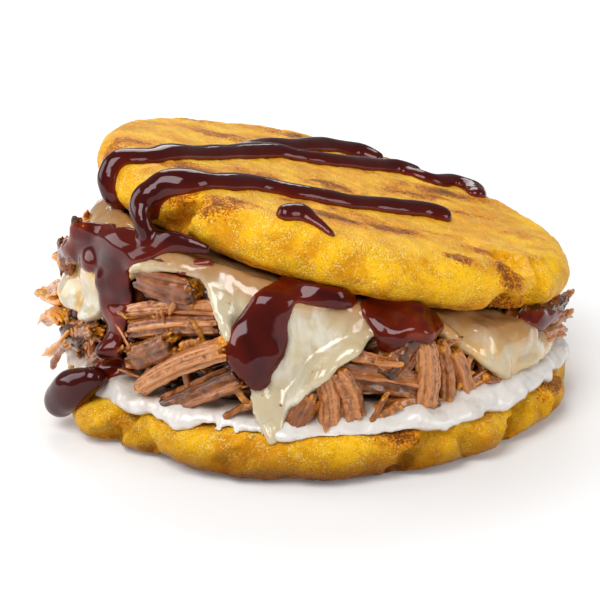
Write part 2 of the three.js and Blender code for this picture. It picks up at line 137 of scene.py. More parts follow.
class Graph:
    """The node tree of one material, built from Python expressions."""

    def __init__(self, name: str) -> None:
        """Starts an empty material called name."""
        self.material = bpy.data.materials.new(name)
        self.material.use_nodes = True
        self.tree = self.material.node_tree
        self.tree.nodes.clear()

    def node(self, kind: str, settings: dict | None = None, inputs: dict | None = None) -> bpy.types.Node:
        """Adds a node of any kind.

        Args:
            kind: the node's type name.
            settings: attributes to set first, where "ramp" holds the stops of a colour ramp.
            inputs: what each socket, by name or number, holds or is linked to.

        Returns:
            The new node.
        """
        node = self.tree.nodes.new(kind)
        for name, value in (settings or {}).items():
            if name == "ramp":
                self._fill_ramp(node.color_ramp, value)
            else:
                setattr(node, name, value)
        for name, value in (inputs or {}).items():
            if isinstance(value, Value):
                self.tree.links.new(value.socket, node.inputs[name])
            elif isinstance(value, bpy.types.NodeSocket):
                self.tree.links.new(value, node.inputs[name])
            else:
                node.inputs[name].default_value = value
        return node

    @staticmethod
    def _fill_ramp(ramp: bpy.types.ColorRamp, stops: Sequence[tuple[float, tuple]]) -> None:
        """Gives a colour ramp its stops.

        Args:
            ramp: a new ramp.
            stops: positions and colours, in order.
        """
        while len(ramp.elements) < len(stops):
            ramp.elements.new(1.0)
        for element, (position, colour) in zip(ramp.elements, stops):
            element.position = position
            element.color = (*colour, 1.0)

    def number(self, kind: str, settings: dict, inputs: dict, output: int | str = 0) -> Value:
        """Adds a node and returns one of its outputs as a Value."""
        return Value(self, self.node(kind, settings, inputs).outputs[output])

    def place(self, centre: Vector | None = None, turn: Matrix | None = None,
              stretch: tuple[float, float, float] = (1, 1, 1)) -> bpy.types.NodeSocket:
        """Object coordinates in millimetres, centred and turned into a piece's own frame.

        Args:
            centre: what becomes the origin, in metres.
            turn: the rotation that the piece has in the world, which is undone.
            stretch: factors along the piece's own axes.

        Returns:
            The vector socket.
        """
        plain = self.node("ShaderNodeTexCoord").outputs["Object"]
        undo = (turn or Matrix.Identity(3)).to_3x3().transposed()
        shift = -(undo @ (centre or Vector()))
        turned = self.node(
            "ShaderNodeMapping",
            {"vector_type": "POINT"},
            {"Vector": plain, "Rotation": undo.to_euler(), "Location": shift},
        ).outputs[0]
        scale = tuple(factor / MM for factor in stretch)
        return self.node(
            "ShaderNodeVectorMath", {"operation": "MULTIPLY"}, {0: turned, 1: scale}
        ).outputs[0]

    def attribute(self, name: str, output: str = "Fac") -> Value:
        """A value stored on the mesh."""
        return self.number("ShaderNodeAttribute", {"attribute_name": name}, {}, output)

    def axis(self, vector: bpy.types.NodeSocket, index: int) -> Value:
        """One coordinate of a vector."""
        return self.number("ShaderNodeSeparateXYZ", {}, {0: vector}, index)

    def noise(self, vector: bpy.types.NodeSocket, size: float, detail: float = 3.0,
              roughness: float = 0.55, warp: float = 0.0) -> Value:
        """Soft noise.

        Args:
            vector: its coordinates.
            size: of its features, in their unit.
            detail: how many finer layers it has.
            roughness: how strong these are.
            warp: how far it is pulled about.

        Returns:
            A value from 0 to 1.
        """
        inputs = {
            "Vector": vector,
            "Scale": 1.0 / size,
            "Detail": detail,
            "Roughness": roughness,
            "Distortion": warp,
        }
        return self.number("ShaderNodeTexNoise", {}, inputs, 0)

    def cells(self, vector: bpy.types.NodeSocket, size: float) -> bpy.types.Node:
        """A Voronoi node with cells of about a size."""
        return self.node("ShaderNodeTexVoronoi", {"feature": "F1"}, {"Vector": vector, "Scale": 1.0 / size})

    def blend(self, share: Value | float, first: object, second: object,
              mode: str = "MIX") -> bpy.types.NodeSocket:
        """Mixes two colours.

        Args:
            share: of the second.
            first: a tuple or a socket.
            second: a tuple or a socket.
            mode: how they mix.

        Returns:
            The colour's socket.
        """
        settings = {"data_type": "RGBA", "blend_type": mode, "clamp_factor": True}
        first, second = (
            (*colour, 1.0) if isinstance(colour, tuple) else colour for colour in (first, second)
        )
        return self.node("ShaderNodeMix", settings, {0: share, 6: first, 7: second}).outputs[2]

    def ramp(self, value: Value, stops: Sequence[tuple[float, tuple]]) -> bpy.types.NodeSocket:
        """A colour from a value."""
        return self.node("ShaderNodeValToRGB", {"ramp": stops}, {"Fac": value}).outputs[0]

    def bump(self, height: Value, depth: float, normal: bpy.types.NodeSocket | None = None,
             strength: float = 1.0) -> bpy.types.NodeSocket:
        """Bumps a normal.

        Args:
            height: from 0 to 1.
            depth: of a height of 1, in metres.
            normal: what is bumped, if not the plain surface.
            strength: share of the whole effect.

        Returns:
            The normal's socket.
        """
        inputs: dict = {"Height": height, "Distance": depth, "Strength": strength}
        if normal is not None:
            inputs["Normal"] = normal
        return self.node("ShaderNodeBump", {}, inputs).outputs[0]

    def surface(self, colour: object, roughness: object, normal: object = None,
                **fixed: object) -> bpy.types.Material:
        """Ends the tree in a Principled shader.

        Args:
            colour: base colour, a tuple or a socket.
            roughness: a number or a Value.
            normal: the bumped normal, if any.
            **fixed: other sockets' numbers, with underscores for spaces.

        Returns:
            The finished material.
        """
        inputs: dict = {"Roughness": roughness}
        inputs["Base Color"] = (*colour, 1.0) if isinstance(colour, tuple) else colour
        if normal is not None:
            inputs["Normal"] = normal
        for name, value in fixed.items():
            if isinstance(value, tuple) and name.endswith("tint"):
                value = (*value, 1.0)
            inputs[name.replace("_", " ").title().replace("Ior", "IOR")] = value
        shader = self.node("ShaderNodeBsdfPrincipled", {"subsurface_method": "RANDOM_WALK"}, inputs)
        end = self.node("ShaderNodeOutputMaterial")
        self.tree.links.new(shader.outputs[0], end.inputs[0])
        return self.material


# ---- Finishes -----------------------------------------------------------------------------------


@dataclass(frozen=True)
class CornFinish:
    """Griddled corn dough: grainy yellow sides with painted glints on pale grains, toasted patches, a brown
    lower edge, and painted shade on its lower side in the middle.
    """

    name: str
    centre: Vector
    turn: Matrix
    thickness: float  # mm
    shade: float = 1.0  # painted shade: how bright its lower edge is in the middle, against its top
    grain: float = 0.25  # mm across
    sheltered: float = 10.0  # mm from the middle, up to where the painted shade is full
    open_from: float = 38.0  # mm from the middle, where half of the painted shade is left
    brown_band: tuple[float, float] = (4.4, 3.0)  # mm above the underside, where the brown edge fades
    deep: tuple = (0.68, 0.285, 0.003)
    bright: tuple = (0.93, 0.525, 0.010)
    # pale grain specks, partly painted glints
    pale: tuple = (1.0, 0.80, 0.34)
    orange: tuple = (0.80, 0.315, 0.006)
    golden: tuple = (0.66, 0.210, 0.006)
    brown: tuple = (0.27, 0.064, 0.008)
    dark: tuple = (0.070, 0.017, 0.006)

    def material(self) -> bpy.types.Material:
        """Builds the material.

        Returns:
            The finished material.
        """
        g = Graph(self.name)
        own = g.place(self.centre, self.turn)
        height = g.axis(own, 2)
        half = self.thickness / 2
        broad = g.noise(own, 7.0, 4.0, 0.6)
        base = g.blend(broad.step(0.34, 0.60), self.deep, self.bright)
        face = height.step(half - 3.0, half - 0.3)
        sunny = g.noise(own, 10.0, 4.0, 0.65).step(0.45, 0.66)
        base = g.blend((0.20 + face * 0.50) * sunny, base, self.orange)
        grains = g.cells(own, self.grain)
        tint = g.axis(grains.outputs["Color"], 0)
        crust = g.noise(own, 2.8, 3.0).step(0.36, 0.62)
        # Painted glints: pale specks on the brightest grain cells stand in for the grains' sparkle, partly
        # their own paler colour.
        base = g.blend(tint.step(0.74, 0.99) * (0.15 + 0.55 * crust), base, self.pale)
        base = g.blend(tint.step(0.34, 0.0) * 0.40, base, self.golden)
        mask, base = self._toasted(g, own, height, base)
        # Painted shade: darkens the lower side towards a warmer brown, most of all in the middle.
        if self.shade < 1.0:
            across = g.axis(own, 0)
            sheltered = (across * across).step(self.open_from ** 2, self.sheltered ** 2)
            down = height.step(half, -half * 0.6) * (0.5 + 0.5 * sheltered)
            low_light = (self.shade, self.shade ** 1.35, self.shade ** 1.6)
            base = g.blend(down, base, g.blend(1.0, base, low_light, "MULTIPLY"))
        lumps = g.noise(own, 2.6, 4.0, 0.6)
        normal = g.bump(lumps, 0.40 * MM, strength=0.7)
        domes = 1.0 - Value(g, grains.outputs["Distance"])
        normal = g.bump(domes * (0.4 + 0.6 * crust), 0.28 * MM, normal, 0.9)
        fine = g.noise(own, 0.20, 2.0, 0.7)
        normal = g.bump(fine, 0.10 * MM, normal, 0.6)
        roughness = 0.50 - 0.30 * tint.step(0.45, 0.9) + 0.15 * mask
        return g.surface(
            base, roughness, normal,
            subsurface_weight=0.10, subsurface_radius=(1.0, 0.5, 0.08), subsurface_scale=1.5 * MM,
            specular_ior_level=0.22, specular_tint=(1.0, 0.72, 0.25),
        )

    def _toasted(self, g: Graph, own: bpy.types.NodeSocket, height: Value,
                 base: bpy.types.NodeSocket) -> tuple[Value, bpy.types.NodeSocket]:
        """Adds the toasted patches and the brown lower edge.

        Args:
            g: the graph.
            own: coordinates in the cake's own frame, in mm.
            height: their third axis.
            base: the colour so far.

        Returns:
            How toasted the surface is, and the new colour.
        """
        half = self.thickness / 2
        ragged = g.noise(own, 3.0, 5.0, 0.7) - 0.5
        specks = g.noise(own, 0.42, 2.0, 0.7) - 0.5
        toast = g.attribute("toast")
        mask = (toast * 1.1 + ragged * 2.2 * toast.step(0.0, 0.4) + specks * 2.4).step(0.10, 1.35)
        mask = mask * toast.step(0.01, 0.25)
        wave = g.noise(own, 1.8, 4.0, 0.65)
        fades, full = self.brown_band
        low = (height + wave * 2.4).step(-half + fades, -half + full)
        edge = g.blend(wave.step(0.40, 0.62), self.orange, self.brown)
        colour = g.blend(low * 0.80, base, edge)
        toasted = g.ramp(
            mask, [(0.0, self.orange), (0.30, self.golden), (0.66, self.brown), (1.0, self.dark)]
        )
        colour = g.blend(mask.step(0.0, 0.30) * 0.92, colour, toasted)
        return mask.larger(low * 0.5), colour


@dataclass(frozen=True)
class CreamFinish:
    """Thick white cream with a soft gloss, a painted shadow near the meat heap and painted shade in darker
    streaks.
    """

    name: str = "cream"
    white: tuple = (0.70, 0.665, 0.625)
    painted_shade_colour: tuple = (0.44, 0.34, 0.26)
    heap_shadow: tuple[float, float] = (55.2, 50.6)  # mm from the middle, where the painted shadow of the heap fades and is full

    def material(self) -> bpy.types.Material:
        """Builds the material.

        Returns:
            The finished material.
        """
        g = Graph(self.name)
        own = g.place()
        flat = g.place(stretch=(1.0, 1.0, 0.0))
        reach = g.number("ShaderNodeVectorMath", {"operation": "LENGTH"}, {0: flat}, "Value")
        wave = g.noise(own, 5.0, 3.0)
        # Painted shadow near the foot of the heap, then painted shade in darker streaks.
        heap_shadow = (reach + wave * 5.0).step(*self.heap_shadow)
        colour = g.blend(heap_shadow * 0.8, self.white, self.painted_shade_colour)
        colour = g.blend(g.noise(own, 3.0, 3.0).step(0.50, 0.72) * 0.30, colour, self.painted_shade_colour)
        normal = g.bump(g.noise(own, 2.2, 3.0, 0.5), 0.40 * MM, strength=0.7)
        roughness = 0.16 + 0.22 * g.noise(own, 4.0, 2.0)
        return g.surface(
            colour, roughness, normal,
            subsurface_weight=0.25, subsurface_radius=(1.0, 0.85, 0.7), subsurface_scale=1.5 * MM,
            coat_weight=0.3, coat_roughness=0.10,
        )


@dataclass(frozen=True)
class CheeseFinish:
    """Melted pale cheese: ivory where thick, yellower and browner where thin, and brown with painted shade
    just under the upper cake.
    """

    name: str = "cheese"
    ivory: tuple = (0.55, 0.475, 0.32)
    white: tuple = (0.73, 0.70, 0.60)
    yellow: tuple = (0.66, 0.39, 0.11)
    thin: tuple = (0.37, 0.17, 0.045)
    right: tuple[float, float] = (8.0, 34.0)  # mm along X, where it turns yellower
    left: tuple[float, float] = (-22.0, -40.0)
    brown_band: tuple[float, float] = (8.4, 2.4)  # painted shade: mm below the upper cake, where its brown fades and is full

    def material(self) -> bpy.types.Material:
        """Builds the material.

        Returns:
            The finished material.
        """
        g = Graph(self.name)
        own = g.place()
        below = g.attribute("below")
        flow = g.place(stretch=(1.0, 1.0, 0.4))
        cloudy = g.noise(own, 7.0, 3.0, 0.55, 0.4)
        right = g.axis(own, 0).step(*self.right)
        left = g.axis(own, 0).step(*self.left)
        sallow = cloudy.step(0.36, 0.62) * (0.15 + 0.75 * right + 1.0 * left)
        colour = g.blend(sallow, self.ivory, self.yellow)
        colour = g.blend(g.noise(flow, 5.0, 3.0, 0.5, 0.6).step(0.5, 0.75) * 0.8, colour, self.white)
        # Painted shade: browner just under the upper cake.
        shoulder = (below + g.noise(own, 4.0, 3.0) * 4.0).step(*self.brown_band)
        colour = g.blend(shoulder * 0.85, colour, self.thin)
        veins = g.noise(flow, 1.7, 4.0, 0.6, 1.2)
        colour = g.blend(veins.step(0.54, 0.74) * 0.25, colour, self.thin)
        normal = g.bump(g.noise(flow, 2.6, 2.0, 0.4, 0.8), 0.40 * MM, strength=0.6)
        roughness = 0.10 + 0.12 * g.noise(own, 3.0, 2.0)
        return g.surface(
            colour, roughness, normal,
            subsurface_weight=0.30, subsurface_radius=(1.0, 0.72, 0.4), subsurface_scale=2.2 * MM,
            coat_weight=0.6, coat_roughness=0.05,
        )


@dataclass(frozen=True)
class GlazeFinish:
    """Dark syrupy glaze, brown-orange where it is thin."""

    name: str = "glaze"
    deep: tuple = (0.040, 0.0020, 0.0010)
    middle: tuple = (0.088, 0.0054, 0.0012)
    thin: tuple = (0.17, 0.018, 0.003)
    full_depth: float = 2.5  # mm, past which it is as dark as it gets

    def material(self) -> bpy.types.Material:
        """Builds the material.

        Returns:
            The finished material.
        """
        g = Graph(self.name)
        depth = g.attribute("depth")
        own = g.place()
        uneven = g.noise(own, 3.0, 2.0) - 0.5
        colour = g.ramp(
            (depth + uneven * 0.5) * (1 / self.full_depth),
            [(0.05, self.thin), (0.28, self.middle), (0.80, self.deep)],
        )
        normal = g.bump(g.noise(own, 6.0, 1.0, 0.4), 0.30 * MM, strength=0.35)
        roughness = 0.05 + 0.07 * g.noise(own, 6.0, 2.0)
        return g.surface(
            colour, roughness, normal, specular_ior_level=0.38, specular_tint=(1.0, 0.84, 0.88)
        )


@dataclass(frozen=True)
class PorkFinish:
    """Roast pork fibres: pinkish tan inside, with painted shade in the grooves between the fibres, dark
    where it was seared.
    """

    name: str
    light: tuple = (0.56, 0.225, 0.070)
    warm: tuple = (0.25, 0.066, 0.012)
    golden: tuple = (0.80, 0.31, 0.012)
    brown: tuple = (0.095, 0.020, 0.004)
    seared: tuple = (0.040, 0.0085, 0.002)
    stretch: float = 0.09  # of the fine lines, across against along
    line: float = 0.30  # mm, the width of a fine line

    def material(self) -> bpy.types.Material:
        """Builds the material.

        Returns:
            The finished material.
        """
        g = Graph(self.name)
        grain = g.node("ShaderNodeAttribute", {"attribute_name": "grain"}).outputs["Vector"]
        along = g.node(
            "ShaderNodeVectorMath", {"operation": "MULTIPLY"}, {0: grain, 1: (self.stretch, 1.0, 1.0)}
        ).outputs[0]
        tone = g.attribute("tone")
        sear = g.attribute("sear")
        tip = g.attribute("tip")
        groove = g.attribute("groove")
        strand = g.attribute("strand") - 0.5
        lines = g.noise(along, self.line, 2.0, 0.6)
        blotches = g.noise(grain, 2.6, 4.0, 0.6) - 0.5
        colour = g.blend((tone + strand * 0.9 + blotches * 1.6).step(0.0, 0.90), self.light, self.warm)
        rich = (tone * -1.3).larger(0.0)
        gilt = (tip * 0.8 + tone * 0.4 + rich + strand * 0.6 + blotches * 1.4).step(0.35, 0.95)
        colour = g.blend(gilt * 0.9, colour, self.golden)
        colour = g.blend(lines.step(0.52, 0.34) * 0.34, colour, self.brown)
        # Painted shade: darker in the grooves between fibres, down to brown in the deepest.
        deep = groove * g.noise(grain, 2.0, 2.0).step(0.25, 0.60)
        colour = g.blend(deep * 0.80, colour, self.warm)
        colour = g.blend(deep.step(0.50, 1.0) * 0.70, colour, self.brown)
        uneven = (blotches * 1.5 + strand * 0.5) * sear.step(0.0, 0.35)
        burn = (sear * 1.15 + uneven).step(0.30, 1.10)
        colour = g.blend(burn.step(0.0, 0.5) * 0.9, colour, self.brown)
        colour = g.blend(burn.step(0.5, 1.0), colour, self.seared)
        normal = g.bump(lines, 0.10 * MM, strength=0.7)
        normal = g.bump(g.noise(grain, 0.7, 3.0, 0.6), 0.16 * MM, normal, 0.6)
        roughness = 0.06 + 0.26 * g.noise(grain, 0.9, 3.0)
        return g.surface(
            colour, roughness, normal,
            subsurface_weight=0.30, subsurface_radius=(1.0, 0.35, 0.12), subsurface_scale=1.4 * MM,
            specular_ior_level=0.50, specular_tint=(1.0, 0.86, 0.74),
            coat_weight=0.48, coat_roughness=0.05,
        )


# ---- Modelling tools ----------------------------------------------------------------------------


def polar(bearing: float, radius: float, height: float = 0.0) -> Vector:
    """The point at a bearing in degrees, and a radius and height in mm, in metres."""
    angle = math.radians(bearing)
    return Vector((radius * math.sin(angle), -radius * math.cos(angle), height)) * MM


def bearing_of(point: Vector) -> float:
    """The bearing of a point, in degrees."""
    return math.degrees(math.atan2(point.x, -point.y))


def smooth_step(low: float, high: float, value: float | np.ndarray) -> float | np.ndarray:
    """Smooth step from 0 at low to 1 at high; low may be above high."""
    share = np.clip((value - low) / (high - low), 0.0, 1.0)
    return share * share * (3 - 2 * share)


def activate(*pieces: bpy.types.Object) -> None:
    """Selects some pieces and nothing else.

    Args:
        *pieces: what to select; the first becomes active.
    """
    bpy.ops.object.select_all(action="DESELECT")
    for piece in pieces:
        piece.select_set(True)
    bpy.context.view_layer.objects.active = pieces[0]


@contextmanager
def editing(piece: bpy.types.Object, mode: str = "VERT") -> Iterator[None]:
    """Holds a piece in edit mode, with the selection that its mesh has.

    Args:
        piece: what to edit, with nothing hidden.
        mode: what is selected: VERT, EDGE or FACE.

    Yields:
        Nothing.
    """
    activate(piece)
    bpy.ops.object.mode_set(mode="EDIT")
    bpy.ops.mesh.select_mode(type=mode)
    try:
        yield
    finally:
        bpy.ops.object.mode_set(mode="OBJECT")


def choose(piece: bpy.types.Object, kind: str, test: Callable[[object], bool]) -> None:
    """Selects the vertices, edges or polygons of a piece that pass a test, and nothing else.

    Args:
        piece: what to select on.
        kind: vertices, edges or polygons.
        test: tells whether an item is selected.
    """
    mesh = piece.data
    for group in (mesh.vertices, mesh.edges, mesh.polygons):
        group.foreach_set("select", [False] * len(group))
    for item in getattr(mesh, kind):
        if test(item):
            item.select = True


def finish_with(piece: bpy.types.Object, kind: str, **settings: object) -> None:
    """Adds a modifier and applies it.

    Args:
        piece: what to change.
        kind: the modifier's type.
        **settings: the modifier's own settings.
    """
    activate(piece)
    modifier = piece.modifiers.new(kind.title(), kind)
    for name, value in settings.items():
        setattr(modifier, name, value)
    bpy.ops.object.modifier_apply(modifier=modifier.name)


def remesh(piece: bpy.types.Object, voxel: float) -> None:
    """Rebuilds a closed piece as even small faces, a voxel in mm wide."""
    finish_with(piece, "REMESH", mode="VOXEL", voxel_size=voxel * MM)


def soften(piece: bpy.types.Object, times: int, factor: float = 0.5) -> None:
    """Smooths a piece."""
    finish_with(piece, "SMOOTH", iterations=times, factor=factor)


def roughen(piece: bpy.types.Object, size: float, depth: float, octaves: int = 2) -> None:
    """Pushes a surface in and out by clouds.

    Args:
        piece: what to roughen.
        size: of the clouds, in mm.
        depth: in all, in mm.
        octaves: how many finer layers the clouds have.
    """
    clouds = bpy.data.textures.new("clouds", "CLOUDS")
    clouds.noise_scale = size * MM
    clouds.noise_depth = octaves
    finish_with(
        piece, "DISPLACE", texture=clouds, strength=depth * MM, mid_level=0.5, texture_coords="LOCAL"
    )


def inflate(piece: bpy.types.Object, depth: float) -> None:
    """Pushes a surface out everywhere by a depth in mm, or in by a negative one."""
    finish_with(piece, "DISPLACE", strength=depth * MM, mid_level=0.0)


def tube(name: str, around: int, rings: int, ends: str) -> bpy.types.Object:
    """A cylinder of unit radius and height on the origin, its wall cut into rings.

    Args:
        name: the piece's name.
        around: how many sides it has.
        rings: how many rings of vertices it has.
        ends: how its ends are filled, in the operator's own words.

    Returns:
        The piece, with its axis along Z.
    """
    bpy.ops.mesh.primitive_cylinder_add(
        vertices=around, radius=1.0, depth=1.0, end_fill_type=ends, location=(0, 0, 0)
    )
    piece = bpy.context.object
    piece.name = name
    points = piece.data.vertices
    choose(piece, "edges", lambda edge: points[edge.vertices[0]].co.z != points[edge.vertices[1]].co.z)
    with editing(piece, "EDGE"):
        bpy.ops.mesh.subdivide(number_cuts=rings - 2)
    return piece


def points_of(piece: bpy.types.Object) -> np.ndarray:
    """The vertices of a piece, in mm."""
    flat = np.empty(len(piece.data.vertices) * 3)
    piece.data.vertices.foreach_get("co", flat)
    return flat.reshape(-1, 3) / MM


def move_points(piece: bpy.types.Object, points: np.ndarray) -> None:
    """Puts the vertices of a piece at these places, in mm."""
    piece.data.vertices.foreach_set("co", (points * MM).ravel())
    piece.data.update()


def store(piece: bpy.types.Object, name: str, values: np.ndarray) -> None:
    """Keeps a number or a vector for each vertex as a named attribute.

    Args:
        piece: the mesh that keeps them.
        name: the attribute's name.
        values: a number or a row for each vertex.
    """
    vector = values.ndim == 2
    kind = "FLOAT_VECTOR" if vector else "FLOAT"
    kept = piece.data.attributes.get(name) or piece.data.attributes.new(name, kind, "POINT")
    kept.data.foreach_set("vector" if vector else "value", values.astype(np.float32).ravel())


def nudge(piece: bpy.types.Object, at: Vector, push: Vector, reach: float,
          falloff: str = "SMOOTH") -> None:
    """Drags the vertex nearest to a point, and what lies around it.

    Args:
        piece: what to push.
        at: the point, in metres.
        push: the way to go, in mm.
        reach: how far around it the push is felt, in mm.
        falloff: how the push fades, in the operator's own words.
    """
    points = points_of(piece)
    nearest = int(np.argmin(((points - np.array(at) / MM) ** 2).sum(1)))
    choose(piece, "vertices", lambda vertex: False)
    piece.data.vertices[nearest].select = True
    with editing(piece):
        bpy.ops.transform.translate(
            value=push * MM, use_proportional_edit=True,
            proportional_edit_falloff=falloff, proportional_size=reach * MM,
        )


def merged_copy(node: str, name: str) -> bpy.types.Object:
    """Copies a CAD solid as one connected mesh.

    Args:
        node: the solid.
        name: the copy's name.

    Returns:
        The copy.
    """
    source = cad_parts[node]
    copy = bpy.data.objects.new(name, source.data.copy())
    copy.data.materials.clear()
    bpy.context.scene.collection.objects.link(copy)
    choose(copy, "vertices", lambda vertex: True)
    with editing(copy):
        bpy.ops.mesh.remove_doubles(threshold=0.002 * MM)
    return copy


def join(pieces: Sequence[bpy.types.Object], name: str) -> bpy.types.Object:
    """Makes one piece of several, with its place in its mesh.

    Args:
        pieces: what to join.
        name: the whole's name.

    Returns:
        The whole.
    """
    activate(*pieces)
    if len(pieces) > 1:
        bpy.ops.object.join()
    bpy.ops.object.transform_apply(location=True, rotation=True, scale=True)
    whole = bpy.context.view_layer.objects.active
    whole.name = whole.data.name = name
    return whole


def copy_of(piece: bpy.types.Object, place: Matrix) -> bpy.types.Object:
    """Copies a piece, with a mesh of its own.

    Args:
        piece: what to copy.
        place: where the copy stands.

    Returns:
        The copy.
    """
    copy = bpy.data.objects.new(piece.name, piece.data.copy())
    copy.matrix_world = place
    bpy.context.scene.collection.objects.link(copy)
    return copy


def discard(*pieces: bpy.types.Object) -> None:
    """Removes helper pieces."""
    for piece in pieces:
        bpy.data.objects.remove(piece)


def land(pieces: Sequence[bpy.types.Object], start: Vector, way: Vector) -> tuple[Vector, Vector] | None:
    """Follows a ray to the first surface that it meets.

    Args:
        pieces: what it may meet.
        start: its start, in metres.
        way: its direction.

    Returns:
        The point and the surface's normal there, or None.
    """
    hits = []
    for piece in pieces:
        hit, point, normal, _ = piece.ray_cast(start, way)
        if hit:
            hits.append(((point - start).length, point, normal))
    if not hits:
        return None
    _, point, normal = min(hits, key=lambda hit: hit[0])
    return point, normal


def hand_over(piece: bpy.types.Object, slot: str, material: bpy.types.Material,
              *nodes: str) -> bpy.types.Object:
    """Dresses a finished piece, and says what it rides on and stands for.

    Args:
        piece: the finished mesh.
        slot: its material slot; not used.
        material: its look.
        *nodes: the CAD nodes whose place it takes.

    Returns:
        The piece.
    """
    piece.data.materials.clear()
    piece.data.materials.append(material)
    for polygon in piece.data.polygons:
        polygon.material_index = 0
    activate(piece)
    bpy.ops.object.shade_smooth()
    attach(piece, "root")
    if nodes:
        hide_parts(*nodes)
    log.info("%s: %d faces", piece.name, len(piece.data.polygons))
    return piece


# ---- Corn cakes ---------------------------------------------------------------------------------


class Tilt:
    """The frame of a flat round cake, wherever it lies: its centre, its axes and its sizes."""

    def __init__(self, node: str) -> None:
        """Reads the frame from a cake's shape.

        Args:
            node: the cake's CAD node.
        """
        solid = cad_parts[node]
        corners = np.unique(np.round(points_of(solid), 3), axis=0)
        low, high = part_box(node)
        middle = (np.array(low) + np.array(high)) / 2 / MM
        _, _, axes = np.linalg.svd(corners - corners.mean(0), full_matrices=False)
        up = Vector(axes[2]) if axes[2][2] > 0 else -Vector(axes[2])
        along = Vector((1, 0, 0)) - up * up.x
        along.normalize()
        self.turn = Matrix((along, up.cross(along), up)).transposed()
        self.centre = Vector(middle) * MM
        local = (corners - middle) @ np.array(self.turn)
        self.thickness = float(np.ptp(local[:, 2]))
        self.radius = float(np.abs(local[:, :2]).max())

    def world(self, x: float, y: float, z: float) -> Vector:
        """A point given in mm in the cake's own frame, in metres in the world."""
        return self.centre + self.turn @ (Vector((x, y, z)) * MM)

    def underside(self, x: float | np.ndarray, y: float | np.ndarray) -> float | np.ndarray:
        """Height of the cake's flat underside above the ground.

        Args:
            x: of a point on the ground, in mm.
            y: of that point, in mm.

        Returns:
            The height, in mm.
        """
        up = self.turn.col[2]
        on = self.world(0, 0, -self.thickness / 2) / MM
        return on.z - (up.x * (x - on.x) + up.y * (y - on.y)) / up.z


@dataclass(frozen=True)
class Dent:
    """A pit, notch or bulge: its bearing and height in the cake's own frame, its push and its reach."""

    bearing: float
    height: float
    push: float  # mm along the radius, inwards if negative
    reach: float  # mm
    lift: float = 0.0  # mm along the cake's axis
    inset: float = 0.0  # mm in from the rim


def crack(bearing: float, low: float, high: float, push: float, reach: float,
          lean: float = 0.0) -> tuple[Dent, ...]:
    """A ragged groove across the rim.

    Args:
        bearing: where it is, in degrees.
        low: its lower end, in mm.
        high: its upper end, in mm.
        push: along the radius, in mm.
        reach: half its width, in mm.
        lean: degrees from its lower to its upper end.

    Returns:
        The dents that make it.
    """
    count = max(2, round((high - low) / (reach * 0.55)))
    found = []
    for index in range(count):
        share = index / (count - 1)
        ragged = 1.4 * noise.noise(Vector((bearing, index * 1.7, 0.0)))
        found.append(Dent(
            bearing + lean * (share - 0.5) + ragged, low + (high - low) * share,
            push * (1.5 + 0.5 * noise.noise(Vector((index * 2.3, bearing, 1.0)))), reach,
        ))
    return tuple(found)


@dataclass(frozen=True)
class Toast:
    """A toasted patch on a flat face: its place in the cake's own plane and its half sizes, in mm."""

    x: float
    y: float
    length: float
    width: float
    turn: float = 34.0  # degrees
    depth: float = 1.0
    face: int = 1


def scattered_toast(seed: int, count: int, face: int, radius: float) -> tuple[Toast, ...]:
    """Toasted patches at random on one face.

    Args:
        seed: of the random draws.
        count: how many patches.
        face: 1 for the top, -1 for the underside.
        radius: how far from the middle they lie, in mm.

    Returns:
        The patches.
    """
    chance = random.Random(seed)
    found = []
    for _ in range(count):
        reach = radius * math.sqrt(chance.random())
        angle = chance.uniform(0, math.tau)
        found.append(Toast(
            reach * math.cos(angle), reach * math.sin(angle), chance.uniform(4, 11),
            chance.uniform(1.5, 5), chance.uniform(10, 60), chance.uniform(0.7, 1.2), face,
        ))
    return tuple(found)


